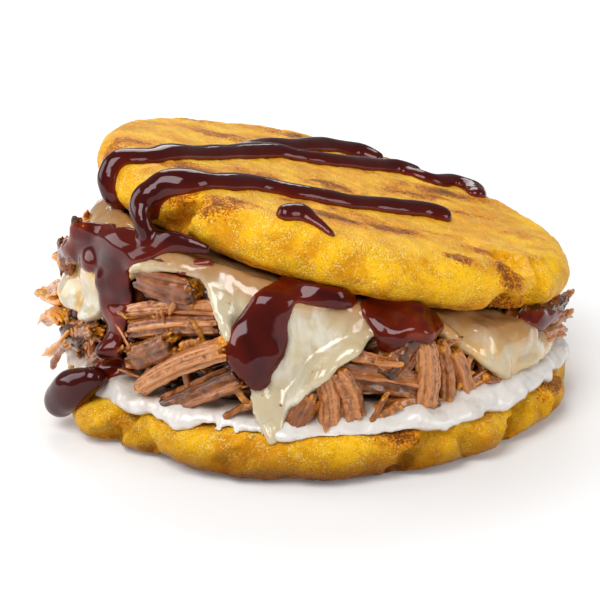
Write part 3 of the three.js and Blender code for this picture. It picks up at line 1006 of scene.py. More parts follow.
@dataclass
class CornCake:
    """One griddled half: a thick round with a soft rim, dents and a grainy skin."""

    name: str
    node: str
    dents: Sequence[Dent]
    toasts: Sequence[Toast]
    shade: float  # painted shade of its lower edge against its top
    segments: int = 96
    rim_rings: int = 6
    rim: float = 0.45  # the rounding's size, of the thickness
    rim_profile: float = 0.55
    insets: tuple[float, float] = (0.6, 1.2)  # rings in the flat faces, of the thickness
    sharp_from: float = -1.5  # mm, past which a dent has a round pit
    coarse: float = 1.1  # mm, the voxels in which the dents are pressed
    fine: float = 0.56  # mm, the voxels of the finished skin
    swells: tuple = ((16.0, 1.5), (5.5, 0.9))  # size and depth, mm
    grain: tuple = ((2.2, 0.42, 3), (0.9, 0.22, 2))  # size and depth in mm, and octaves
    tilt: Tilt = field(init=False)

    def __post_init__(self) -> None:
        """Reads where the cake lies."""
        self.tilt = Tilt(self.node)

    def build(self) -> bpy.types.Object:
        """Models the cake over its CAD solid.

        Returns:
            The finished piece, without its material.
        """
        tilt = self.tilt
        radius, thickness = tilt.radius * MM, tilt.thickness * MM
        bpy.ops.mesh.primitive_cylinder_add(
            vertices=self.segments, radius=radius, depth=thickness, location=(0, 0, 0)
        )
        cake = bpy.context.object
        cake.name = self.name
        self._round_rim(cake, thickness)
        cake.matrix_world = Matrix.Translation(tilt.centre) @ tilt.turn.to_4x4()
        bpy.ops.object.transform_apply(location=True, rotation=True, scale=True)
        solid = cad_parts[self.node]
        finish_with(cake, "SHRINKWRAP", target=solid, wrap_method="NEAREST_SURFACEPOINT")
        remesh(cake, self.coarse)
        soften(cake, 4)
        for size, depth in self.swells:
            roughen(cake, size, depth)
        for dent in self.dents:
            self._press(cake, dent)
        remesh(cake, self.fine)
        soften(cake, 2)
        for size, depth, octaves in self.grain:
            roughen(cake, size, depth, octaves)
        self._flatten_base(cake)
        self._toast(cake)
        return cake

    def dress(self, cake: bpy.types.Object) -> None:
        """Gives the finished cake its look.

        Args:
            cake: the finished piece.
        """
        tilt = self.tilt
        finish = CornFinish(self.name, tilt.centre, tilt.turn, tilt.thickness, self.shade)
        hand_over(cake, "corn", finish.material(), self.node)

    def _toast(self, cake: bpy.types.Object) -> None:
        """Stores how toasted each vertex is.

        Args:
            cake: the finished piece.
        """
        middle = np.array(self.tilt.centre) / MM
        local = (points_of(cake) - middle) @ np.array(self.tilt.turn)
        toasted = np.zeros(len(local))
        for patch in self.toasts:
            angle = math.radians(patch.turn)
            x = local[:, 0] - patch.x
            y = local[:, 1] - patch.y
            along = (x * math.cos(angle) + y * math.sin(angle)) / patch.length
            across = (y * math.cos(angle) - x * math.sin(angle)) / patch.width
            near = np.exp(-(along ** 2 + across ** 2) * 0.6) * patch.depth
            facing = smooth_step(-0.5, 2.0, local[:, 2] * patch.face)
            toasted = np.maximum(toasted, near * facing)
        store(cake, "toast", toasted)

    def _round_rim(self, cake: bpy.types.Object, thickness: float) -> None:
        """Insets the flat faces and rounds the rim's two edges.

        Args:
            cake: a plain cylinder.
            thickness: its height, in metres.
        """
        choose(cake, "polygons", lambda face: abs(face.normal.z) > 0.9)
        with editing(cake, "FACE"):
            for inset in self.insets:
                bpy.ops.mesh.inset(thickness=thickness * inset, depth=0)
        choose(cake, "polygons", lambda face: abs(face.normal.z) < 0.1)
        with editing(cake, "FACE"):
            bpy.ops.mesh.bevel(
                offset=thickness * self.rim, segments=self.rim_rings, profile=self.rim_profile,
                affect="EDGES",
            )

    def _press(self, cake: bpy.types.Object, dent: Dent) -> None:
        """Makes one dent.

        Args:
            cake: the cake, where it lies.
            dent: what to press into it.
        """
        angle = math.radians(dent.bearing)
        outward = Vector((math.sin(angle), -math.cos(angle), 0))
        start = self.tilt.world(*(outward * 2 * self.tilt.radius)[:2], dent.height)
        way = self.tilt.turn @ -outward
        found = land([cake], start, way)
        if found is None:
            return
        at = found[0] + way * dent.inset * MM
        push = self.tilt.turn @ (outward * dent.push + UP * dent.lift)
        nudge(cake, at, push, dent.reach, "SPHERE" if dent.push < self.sharp_from else "SMOOTH")

    def _flatten_base(self, cake: bpy.types.Object) -> None:
        """Keeps the cake from reaching below the surface that it lies on.

        Args:
            cake: the finished shape.
        """
        points = points_of(cake)
        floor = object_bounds()[0][2] / MM
        points[:, 2] = np.maximum(points[:, 2], floor)
        move_points(cake, points)


# ---- Cream --------------------------------------------------------------------------------------


@dataclass
class CreamLayer:
    """A thick layer of cream with a wavy skirt."""

    node: str = "cream"
    coarse: float = 0.9  # mm
    fine: float = 0.62  # mm
    proud: float = 0.45  # mm past the CAD solid
    waves: tuple = ((9.0, 2.2), (4.5, 2.0))  # size and depth, mm
    ripple: tuple = (2.4, 0.5)  # mm

    def build(self) -> bpy.types.Object:
        """Models the cream over its CAD solid.

        Returns:
            The finished piece, without its material.
        """
        cream = merged_copy(self.node, "cream_layer")
        remesh(cream, self.coarse)
        inflate(cream, self.proud)
        soften(cream, 6)
        for size, depth in self.waves:
            roughen(cream, size, depth)
        remesh(cream, self.fine)
        soften(cream, 5)
        roughen(cream, *self.ripple)
        return cream

    def dress(self, cream: bpy.types.Object) -> None:
        """Gives the finished cream its look."""
        hand_over(cream, "cream", CreamFinish().material(), self.node)


# ---- Pulled pork --------------------------------------------------------------------------------


class Cut(Enum):
    """Kinds of shredded meat: length, width, depth and fibre radius in mm, and triangles."""

    SLAB = (18.0, 7.0, 5.6, 0.56, 10000)
    STRAND = (22.0, 4.6, 4.2, 0.48, 10000)
    BLOCK = (12.0, 6.4, 5.8, 0.52, 9000)
    FRAYED = (16.0, 5.6, 4.0, 0.46, 8000)
    STRIP = (15.0, 2.8, 2.4, 0.42, 3000)
    THREAD = (16.0, 1.2, 1.1, 0.36, 700)

    @property
    def depth(self) -> float:
        """Depth of one bundle in mm."""
        return self.value[2]

    @property
    def faces(self) -> int:
        """Triangles in one bundle."""
        return self.value[4]

    @property
    def limpness(self) -> float:
        """The most that it twists and bends, in radians."""
        return {Cut.THREAD: 1.5, Cut.STRIP: 0.9}.get(self, 0.45)

    @property
    def ragged(self) -> bool:
        """Whether its fibres end at uneven lengths."""
        return self in (Cut.FRAYED, Cut.STRIP, Cut.THREAD)

    @property
    def chunky(self) -> bool:
        """Whether it is a lump rather than a strand."""
        return self in (Cut.SLAB, Cut.BLOCK, Cut.FRAYED)


@dataclass(frozen=True)
class Morsel:
    """Where one piece of meat lies on the heap's side, in mm and degrees.

    height is that of its middle, slope the angle of its right end above level, scale its size against
    its kind's, and out how far it stands out. tone is 0 for pale, 1 for brown and below 0 for golden,
    and sear is 0 to 1. It is turned by roll about its length, and by yaw so that one end stands out.
    pick says which of the patterns of its kind it is.
    """

    cut: Cut
    bearing: float
    height: float
    slope: float
    scale: tuple[float, float, float] = (1.0, 1.0, 1.0)
    out: float = 0.0
    tone: float = 0.4
    sear: float = 0.2
    roll: float = 0.0
    yaw: float = 0.0
    pick: int = 0


# The pieces that lie in view, from the front to the left end and then the right end.
HEROES = (
    Morsel(Cut.BLOCK, -32.0, 32.2, -6, (1.10, 0.95, 0.9), 1.6, 1.1, 0.42, roll=10, pick=1),
    Morsel(Cut.STRAND, -30, 28.0, 11, (1.02, 0.72, 0.75), 0.2, 0.25, 0.15),
    Morsel(Cut.STRAND, -30, 25.2, 13, (1.0, 0.80, 0.8), 0.5, 0.55, 0.45, roll=20, pick=1),
    Morsel(Cut.FRAYED, -35.5, 19.4, 26, (0.9, 1.0, 1.2), 0.8, 0.9, 0.30, pick=2),
    Morsel(Cut.STRAND, -26, 19.4, 31, (1.05, 0.80, 0.9), 3.2, 0.10, 0.02, yaw=4, pick=2),
    Morsel(Cut.SLAB, -22.0, 14.6, 30, (1.1, 0.72, 1.0), 1.6, 0.75, 0.42, roll=-20, yaw=4),
    Morsel(Cut.SLAB, -15, 19.4, 28, (0.9, 0.8, 1.0), -0.4, 0.8, 0.75, roll=10, pick=1),
    Morsel(Cut.FRAYED, -13, 26.5, 10, (0.9, 0.9, 1.0), -1.2, 0.7, 0.6, pick=1),
    Morsel(Cut.THREAD, -22, 25.2, -62, (0.45, 1.5, 1.5), 1.4, 1.5, 0.0),
    Morsel(Cut.THREAD, -24, 22.8, 20, (0.35, 1.4, 1.4), 1.6, 1.5, 0.0, pick=1),
    Morsel(Cut.THREAD, -13.5, 15.8, -50, (0.5, 1.0, 1.0), 2.2, 1.6, 0.0, pick=1),
    Morsel(Cut.THREAD, -12.6, 13.4, 38, (0.7, 1.2, 1.2), 2.4, 1.6, 0.0, pick=2),
    Morsel(Cut.THREAD, -9.0, 14.4, 8, (0.6, 1.2, 1.2), 2.0, 1.5, 0.0),
    Morsel(Cut.FRAYED, -1.4, 11.2, 62, (0.75, 0.75, 1.0), 2.6, 0.9, 0.30, pick=1),
    Morsel(Cut.STRAND, 4, 15.0, -82, (0.52, 0.90, 1.0), 2.8, 0.0, 0.05),
    Morsel(Cut.STRAND, 8.3, 15.6, -72, (0.48, 1.0, 1.0), 2.2, 0.6, 0.25, pick=1),
    Morsel(Cut.STRIP, 13.2, 21.4, -18, (0.75, 1.1, 1.0), 1.8, 0.3, 0.0, yaw=6),
    Morsel(Cut.SLAB, 16, 17.2, -14, (1.15, 0.85, 1.0), 0.6, 0.75, 0.30, pick=2),
    Morsel(Cut.SLAB, 21, 22.0, 52, (0.62, 0.95, 1.1), 1.8, 0.8, 0.45),
    Morsel(Cut.STRAND, 26.0, 17.6, -88, (0.60, 0.95, 0.9), 2.2, 0.0, 0.02, pick=2),
    Morsel(Cut.STRAND, 30.8, 17.0, -80, (0.54, 0.8, 0.9), 1.2, 0.3, 0.10),
    Morsel(Cut.BLOCK, 35.5, 15.8, -70, (0.85, 0.65, 1.0), 1.0, 0.3, 0.20),
    Morsel(Cut.STRIP, 21.5, 12.6, 4, (0.9, 1.2, 1.3), 0.8, 0.8, 0.35, pick=1),
    Morsel(Cut.FRAYED, 40, 12.8, 4, (0.7, 0.7, 1.0), 0.6, 1.3, 0.10),
    Morsel(Cut.STRIP, 45, 12.4, -34, (0.6, 0.9, 1.0), 1.6, 1.2, 0.30, pick=1),
    Morsel(Cut.THREAD, 13, 11.4, 72, (0.6, 1.3, 1.2), 2.4, 1.0, 0.20),
    Morsel(Cut.THREAD, 16, 11.6, 28, (0.5, 1.3, 1.2), 2.0, 1.4, 0.10, pick=1),
    Morsel(Cut.FRAYED, -52, 15.0, 35, (0.9, 0.7, 1.0), 0.4, 0.8, 0.28, pick=2),
    Morsel(Cut.FRAYED, -62, 17.0, 20, (0.8, 0.7, 1.0), 0.2, 0.9, 0.25, pick=1),
    # The golden tones (below 0) of the pieces at the left end are partly a painted glow of the light behind
    # them.
    Morsel(Cut.STRIP, -74, 11.4, 34, (1.1, 0.8, 0.8), 2.6, -1.4, 0.0, yaw=-16),
    Morsel(Cut.THREAD, -70, 11.4, 42, (0.8, 1.3, 1.0), 2.8, 1.3, 0.1, yaw=-10),
    Morsel(Cut.STRIP, -84, 14.8, 16, (1.05, 1.3, 1.2), 4.0, -1.3, 0.0, yaw=-22, pick=1),
    Morsel(Cut.STRIP, -88, 17.2, 6, (1.05, 1.3, 1.2), 4.8, -1.3, 0.0, yaw=-26),
    Morsel(Cut.STRIP, -86, 19.8, 24, (0.9, 1.2, 1.2), 4.2, -0.8, 0.05, yaw=-20, pick=2),
    Morsel(Cut.THREAD, -90, 18.2, 10, (0.9, 1.4, 1.2), 5.8, -1.4, 0.0, yaw=-34),
    Morsel(Cut.STRIP, -93, 24.4, -6, (0.75, 1.0, 1.1), 4.4, -1.3, 0.1, yaw=-26, pick=1),
    Morsel(Cut.FRAYED, 88, 14.8, 8, (0.75, 0.7, 1.0), 4.4, 0.9, 0.50, yaw=20, pick=1),
    Morsel(Cut.FRAYED, 80, 17.0, 14, (0.65, 0.6, 1.0), 3.6, 1.0, 0.45, yaw=10),
    Morsel(Cut.STRIP, 95, 14.2, 6, (0.8, 0.9, 1.0), 6.2, 0.0, 0.0, yaw=36),
    Morsel(Cut.STRIP, 88, 13.6, -10, (0.8, 0.9, 1.0), 5.0, 0.5, 0.05, yaw=26, pick=1),
    Morsel(Cut.STRIP, 80, 12.8, -24, (0.8, 0.9, 1.0), 3.6, 0.9, 0.10, yaw=12),
)

# The few that lie over the cheese, under the glaze.
SAUCED = (
    Morsel(Cut.STRIP, -63, 35.0, 52, (0.9, 1.3, 1.2), 5.4, 0.9, 0.45),
    Morsel(Cut.STRIP, -71, 31.6, 48, (0.8, 1.3, 1.1), 5.2, 0.9, 0.40, pick=1),
    Morsel(Cut.STRIP, -67, 36.4, 48, (0.7, 1.1, 1.0), 3.6, -1.2, 0.10, pick=2),
    Morsel(Cut.FRAYED, -78, 29.6, 40, (0.7, 0.6, 0.8), 4.6, 0.6, 0.35, pick=1),
    Morsel(Cut.STRIP, -94, 26.6, 14, (0.8, 1.0, 1.0), 4.4, -0.5, 0.30, yaw=-24, pick=2),
    Morsel(Cut.BLOCK, 68, 19.6, 8, (0.7, 0.6, 0.7), 3.0, 1.0, 0.60),
    Morsel(Cut.FRAYED, 72, 18.0, -12, (0.55, 0.6, 0.8), 4.0, 1.2, 0.30, yaw=16, pick=1),
    Morsel(Cut.STRIP, 74, 17.0, 6, (0.6, 0.9, 1.0), 4.4, 0.0, 0.0, yaw=24),
    Morsel(Cut.STRIP, 70, 15.6, -8, (0.6, 0.9, 1.0), 4.0, 0.2, 0.0, yaw=16, pick=2),
)


FILLER_CUTS = (Cut.SLAB, Cut.FRAYED, Cut.FRAYED, Cut.STRIP, Cut.BLOCK, Cut.STRAND)
SLUMP_BEARING = -98
SLUMP_IN_FRONT = 30  # degrees over which the slump fades
SLUMP_BEHIND = 42
GOLDEN_ANGLE = 137.508  # degrees, which spreads a row of pieces evenly all round

# Bearings in degrees, and the heights in mm to which the cheese hangs there.
CHEESE_EDGE = (
    (-180, 27), (-165, 22), (-150, 28), (-130, 33), (-112, 31), (-96, 31), (-82, 24), (-70, 20),
    (-62, 19.5), (-54, 22), (-46, 30), (-38, 34.6), (-28, 35.6), (-23.6, 35.3), (-20, 31.2),
    (-16.6, 26.9), (-14.4, 22.6), (-10.6, 16.6), (-9.2, 11.4), (-6.6, 7.5), (-4.8, 8.2), (-3.6, 13.0),
    (0, 16.0), (5.4, 20.3), (10, 22.4), (15, 24.6), (22, 25.5), (30.9, 23.6), (37.7, 18.8),
    (45, 13.2), (49, 11.3), (53, 12.5), (66, 12.7), (78, 14.5), (95, 15.5), (120, 17.5), (140, 15.5),
    (158, 22), (180, 27),
)


def edge_of_cheese(bearing: float) -> float:
    """Height in mm to which the cheese hangs at a bearing."""
    known = np.array(CHEESE_EDGE)
    return float(np.interp(bearing, known[:, 0], known[:, 1]))


def slump(bearing: float) -> float:
    """How far the filling has sunk at a bearing, from 0 to 1: most of all on the left."""
    spread = SLUMP_IN_FRONT if bearing > SLUMP_BEARING else SLUMP_BEHIND
    return math.exp(-((bearing - SLUMP_BEARING) / spread) ** 2)


@dataclass
class PorkHeap:
    """The heap of pulled pork: a dark core that paints shade into the gaps between pieces, big pieces in
    front, and shreds all round.
    """

    cake: Tilt  # the upper cake, which closes the heap from above
    node: str = "pulled_pork"
    fillers: int = 110
    threads: int = 220
    patterns: int = 3  # of each cut
    thinned: float = 0.18  # share of the triangles that small pieces keep
    fewest: int = 90  # triangles
    seed: int = 11
    splay: float = 0.012  # by which fibres part for each mm from a bundle's middle
    foot: float = 49.5  # mm, the heap's radius on the cream
    draft: float = 0.167  # mm of radius lost for each mm of height
    sag: float = 0.6  # mm of radius lost for each mm above the sagging height
    sags_above: float = 26.0  # mm
    roof_radius: float = 45.0  # mm, where its top edge is
    roof_gap: float = 2.6  # mm under the upper cake
    bedded: float = 0.42  # how deep a morsel lies in the side, of its depth
    core_inset: float = 1.6  # mm
    core_voxels: tuple[float, float] = (1.4, 1.0)  # mm, before and after it is drawn in
    core_lumps: tuple = ((4.0, 2.4), (1.6, 0.8))  # size and depth, mm
    # Painted shade: the core's meat is kept dark brown and seared, so that the gaps between the pieces read
    # dark.
    core_looks: tuple = (("tip", 0.0), ("groove", 0.5), ("strand", 0.5), ("tone", 0.9), ("sear", 0.75))
    pressed: tuple[float, ...] = (-80, -100, -120)  # bearings at which the core is pushed in
    spacing: float = 1.78  # between fibres, of a fibre's radius
    row_height: float = 0.87  # of the spacing
    jitter: float = 0.25  # mm
    fibre_waves: tuple = ((3.0, 0.8), (1.0, 0.12))  # size and depth, mm
    fine: dict = field(default_factory=dict)
    coarse: dict = field(default_factory=dict)

    def __post_init__(self) -> None:
        """Finds the cream's top, and starts the random draws."""
        self.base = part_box("cream")[1].z / MM
        self.chance = random.Random(self.seed)

    def build(self) -> list[bpy.types.Object]:
        """Models the core, the morsels, the strands, the shreds and the threads.

        Returns:
            The finished pieces in that order, without materials.
        """
        for cut in Cut:
            self.fine[cut] = [self._bundle(cut, index) for index in range(self.patterns)]
            self.coarse[cut] = [copy_of(piece, Matrix.Identity(4)) for piece in self.fine[cut]]
            for piece in self.coarse[cut]:
                self._thin_out(piece, max(self.fewest, int(cut.faces * self.thinned)))
        return [
            self._core(),
            self._lay_all("pork_morsels", [morsel for morsel in HEROES if morsel.cut.chunky], self.fine),
            self._lay_all("pork_strands", [morsel for morsel in HEROES if not morsel.cut.chunky], self.fine),
            self._lay_all("pork_shreds", self._fill(), self.coarse),
            self._lay_all("pork_threads", self._thread(), self.coarse),
        ]

    def sauced(self) -> bpy.types.Object:
        """Models the few pieces that lie over the cheese, and puts the patterns away.

        Returns:
            The finished piece, without its material.
        """
        over = self._lay_all("pork_sauced", SAUCED, self.fine)
        for kept in (*self.fine.values(), *self.coarse.values()):
            discard(*kept)
        return over

    def dress(self, pieces: Sequence[bpy.types.Object]) -> None:
        """Gives the finished pieces their look.

        Args:
            pieces: the core, then the others.
        """
        pork = PorkFinish("pork").material()
        core, *others = pieces
        hand_over(core, "pork", pork, self.node)
        for piece in others:
            hand_over(piece, "pork", pork)

    def side(self, bearing: float, height: float) -> float:
        """Radius of the heap's side at a bearing and a height, in mm."""
        sag = self.sag * slump(bearing) * max(0.0, height - self.sags_above)
        return self.foot - self.draft * (height - self.base) - sag

    def roof(self, bearing: float) -> float:
        """Height of the heap's top edge at a bearing, in mm."""
        edge = polar(bearing, self.roof_radius) / MM
        return self.cake.underside(edge.x, edge.y) - self.roof_gap

    def _core(self) -> bpy.types.Object:
        """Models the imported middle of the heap, a little inside the CAD solid.

        Returns:
            The core.
        """
        core = merged_copy(self.node, "pork_core")
        remesh(core, self.core_voxels[0])
        for bearing in self.pressed:
            outward = polar(bearing, 1) / MM
            nudge(core, polar(bearing, 44, 38), -outward * 6 - UP * 3, 17)
        inflate(core, -self.core_inset)
        soften(core, 3)
        remesh(core, self.core_voxels[1])
        for size, depth in self.core_lumps:
            roughen(core, size, depth)
        points = points_of(core)
        turn = np.radians([bearing_of(Vector(point)) for point in points])
        store(core, "grain", np.stack([points[:, 2], turn * 48, np.hypot(points[:, 0], points[:, 1])], 1))
        for name, value in self.core_looks:
            store(core, name, np.full(len(points), value))
        return core

    def _bundle(self, cut: Cut, index: int) -> bpy.types.Object:
        """Models one bundle of fibres along X, centred on the origin.

        Args:
            cut: its kind.
            index: which pattern of that kind.

        Returns:
            The bundle.
        """
        chance = random.Random(f"{cut.name}{index}")
        fibres, axes = self._fibres(cut, chance)
        bundle = join(fibres, f"{cut.name.lower()}_{index}")
        remesh(bundle, 0.24 if cut is Cut.THREAD else 0.25)
        soften(bundle, 3, 0.6)
        for size, depth in self.fibre_waves:
            roughen(bundle, size, depth)
        self._thin_out(bundle, cut.faces)
        self._mark(bundle, cut, np.array(axes))
        offset = np.array([chance.uniform(0, 90) for _ in range(3)])
        store(bundle, "grain", points_of(bundle) + offset)
        twist, curl = (chance.uniform(-cut.limpness, cut.limpness) for _ in range(2))
        finish_with(bundle, "SIMPLE_DEFORM", deform_method="TWIST", deform_axis="X", angle=twist)
        finish_with(bundle, "SIMPLE_DEFORM", deform_method="BEND", deform_axis="Z", angle=curl)
        return bundle

    @staticmethod
    def _rod() -> bpy.types.Object:
        """Models one straight fibre along X, of unit radius and half length, with blunt ends.

        Returns:
            The fibre.
        """
        bpy.ops.mesh.primitive_cylinder_add(vertices=8, radius=1.0, depth=2.0, location=(0, 0, 0))
        rod = bpy.context.object
        choose(rod, "polygons", lambda face: abs(face.normal.z) > 0.9)
        with editing(rod, "FACE"):
            bpy.ops.mesh.bevel(offset=0.35, segments=2, affect="EDGES")
        activate(rod)
        rod.rotation_euler = (0, math.pi / 2, 0)
        bpy.ops.object.transform_apply(location=False, rotation=True, scale=False)
        return rod

    def _fibres(self, cut: Cut, chance: random.Random) -> tuple[list[bpy.types.Object], list[tuple]]:
        """Packs fibres into a bundle's oval section.

        Args:
            cut: the kind of bundle.
            chance: the bundle's own random draws.

        Returns:
            The fibres, and for each its y, z, radius (mm) and a random share.
        """
        length, width, depth, fibre, _ = cut.value
        rod = self._rod()
        fibres = []
        axes = []
        step = fibre * self.spacing
        rows = int(depth / step)
        columns = int(width / step)
        for row in range(-rows, rows + 1):
            for column in range(-columns, columns + 1):
                y = (column + 0.5 * (row % 2)) * step + chance.uniform(-self.jitter, self.jitter)
                z = row * step * self.row_height + chance.uniform(-self.jitter, self.jitter)
                if (y / (width / 2)) ** 2 + (z / (depth / 2)) ** 2 > 1.0:
                    continue
                reach = length * chance.uniform(0.33 if cut.ragged else 0.43, 0.52)
                thick = fibre * chance.uniform(0.75, 1.40)
                shift = length * chance.uniform(-0.07, 0.07) * (1.0 if cut.ragged else 0.4)
                place = Matrix.Translation(Vector((shift, y, z)) * MM)
                lean = Euler((0, -z * self.splay, y * self.splay))
                size = Matrix.Diagonal((reach * MM, thick * MM, thick * MM, 1.0))
                fibres.append(copy_of(rod, place @ lean.to_matrix().to_4x4() @ size))
                axes.append((y, z, thick, chance.random()))
        discard(rod)
        return fibres, axes

    def _mark(self, bundle: bpy.types.Object, cut: Cut, axes: np.ndarray) -> None:
        """Stores which fibre each vertex is on, and how near it is to a groove, an end and the crust.

        Args:
            bundle: the bundle, before it is twisted.
            cut: its kind.
            axes: y, z, radius and a share of each fibre, one in a row.
        """
        length, _, depth, _, _ = cut.value
        points = points_of(bundle)
        spread = 1 + points[:, :1] * self.splay
        away = np.hypot(points[:, 1:2] - axes[:, 0] * spread, points[:, 2:3] - axes[:, 1] * spread)
        away /= axes[:, 2]
        nearest = np.sort(away, axis=1)
        store(bundle, "groove", smooth_step(0.42, 0.06, nearest[:, 1] - nearest[:, 0]))
        store(bundle, "strand", axes[away.argmin(1), 3])
        ends = smooth_step(0.34, 0.52, np.abs(points[:, 0]) / length)
        crust = smooth_step(-0.1, 0.9, points[:, 2] / (depth / 2))
        store(bundle, "sear", np.clip(0.55 * crust + 0.45 * ends, 0, 1))
        store(bundle, "tip", ends)
        store(bundle, "tone", np.zeros(len(points)))

    @staticmethod
    def _thin_out(bundle: bpy.types.Object, faces: int) -> None:
        """Brings a bundle down to a number of triangles."""
        now = sum(len(polygon.vertices) - 2 for polygon in bundle.data.polygons)
        finish_with(bundle, "DECIMATE", ratio=min(1.0, faces / now))

    def _lay_all(self, name: str, morsels: Sequence[Morsel], patterns: dict) -> bpy.types.Object:
        """Makes one piece of many morsels."""
        return join([self._lay(morsel, patterns[morsel.cut]) for morsel in morsels], name)

    def _lay(self, morsel: Morsel, patterns: Sequence[bpy.types.Object]) -> bpy.types.Object:
        """Lays a copy of a pattern on the heap's side.

        Args:
            morsel: what to lay, and where.
            patterns: the bundles of its kind.

        Returns:
            The copy.
        """
        source = patterns[morsel.pick]
        outward = polar(morsel.bearing, 1).normalized()
        sideways = polar(morsel.bearing + 90, 1).normalized()
        slope = math.radians(morsel.slope)
        run = sideways * math.cos(slope) + UP * math.sin(slope)
        turn = Matrix.Rotation(math.radians(morsel.yaw), 3, run.cross(outward)) @ Matrix(
            (run, outward.cross(run), outward)
        ).transposed()
        turn = turn @ Matrix.Rotation(math.radians(morsel.roll), 3, "X")
        depth = morsel.cut.depth * morsel.scale[2]
        radius = self.side(morsel.bearing, morsel.height) + morsel.out - depth * self.bedded
        at = polar(morsel.bearing, radius, morsel.height)
        copy = copy_of(source, Matrix.Translation(at) @ turn.to_4x4() @ Matrix.Diagonal((*morsel.scale, 1)))
        count = len(copy.data.vertices)
        cooked = np.empty(count, np.float32)
        copy.data.attributes["sear"].data.foreach_get("value", cooked)
        store(copy, "sear", np.clip(cooked * (0.35 + morsel.sear) + morsel.sear * 0.75 - 0.25, 0, 1))
        store(copy, "tone", np.full(count, morsel.tone))
        return copy

    def _fill(self) -> list[Morsel]:
        """Smaller pieces all round, set a golden angle apart so that no side is bare.

        Returns:
            What to lay, and where.
        """
        chance = self.chance
        found = []
        for index in range(self.fillers):
            bearing = (index * GOLDEN_ANGLE) % 360 - 180
            top = self.roof(bearing) - 1.5
            height = self.base + 1.0 + (top - self.base - 1.0) * chance.random()
            cut = chance.choice(FILLER_CUTS)
            front = abs(bearing + 5) < 50
            found.append(Morsel(
                cut, bearing, height, chance.uniform(-50, 50),
                (chance.uniform(0.6, 1.0), chance.uniform(0.6, 1.0), chance.uniform(0.7, 1.1)),
                chance.uniform(-3.4, -1.6) if front else chance.uniform(-1.4, 1.4),
                chance.uniform(0.2, 1.0), chance.uniform(*((0.6, 1.0) if front else (0.2, 0.9))),
                chance.uniform(-60, 60), chance.uniform(-14, 14), chance.randrange(self.patterns),
            ))
        return found

    def _thread(self) -> list[Morsel]:
        """Thin loose fibres.

        Returns:
            What to lay, and where.
        """
        chance = self.chance
        found = []
        for index in range(self.threads):
            bearing = (index * GOLDEN_ANGLE + 40) % 360 - 180
            top = min(self.roof(bearing) - 2.0, edge_of_cheese(bearing) - 1.0)
            height = self.base + 0.5 + (top - self.base - 0.5) * chance.random()
            found.append(Morsel(
                Cut.THREAD, bearing, height, chance.uniform(-80, 80),
                (chance.uniform(0.3, 0.8), chance.uniform(0.5, 1.1), chance.uniform(0.5, 1.1)),
                chance.uniform(-1.0, 1.0), chance.uniform(0.0, 1.6), chance.uniform(0.0, 0.5),
                chance.uniform(-90, 90), chance.uniform(-18, 18), chance.randrange(self.patterns),
            ))
        return found


# ---- Melted cheese ------------------------------------------------------------------------------


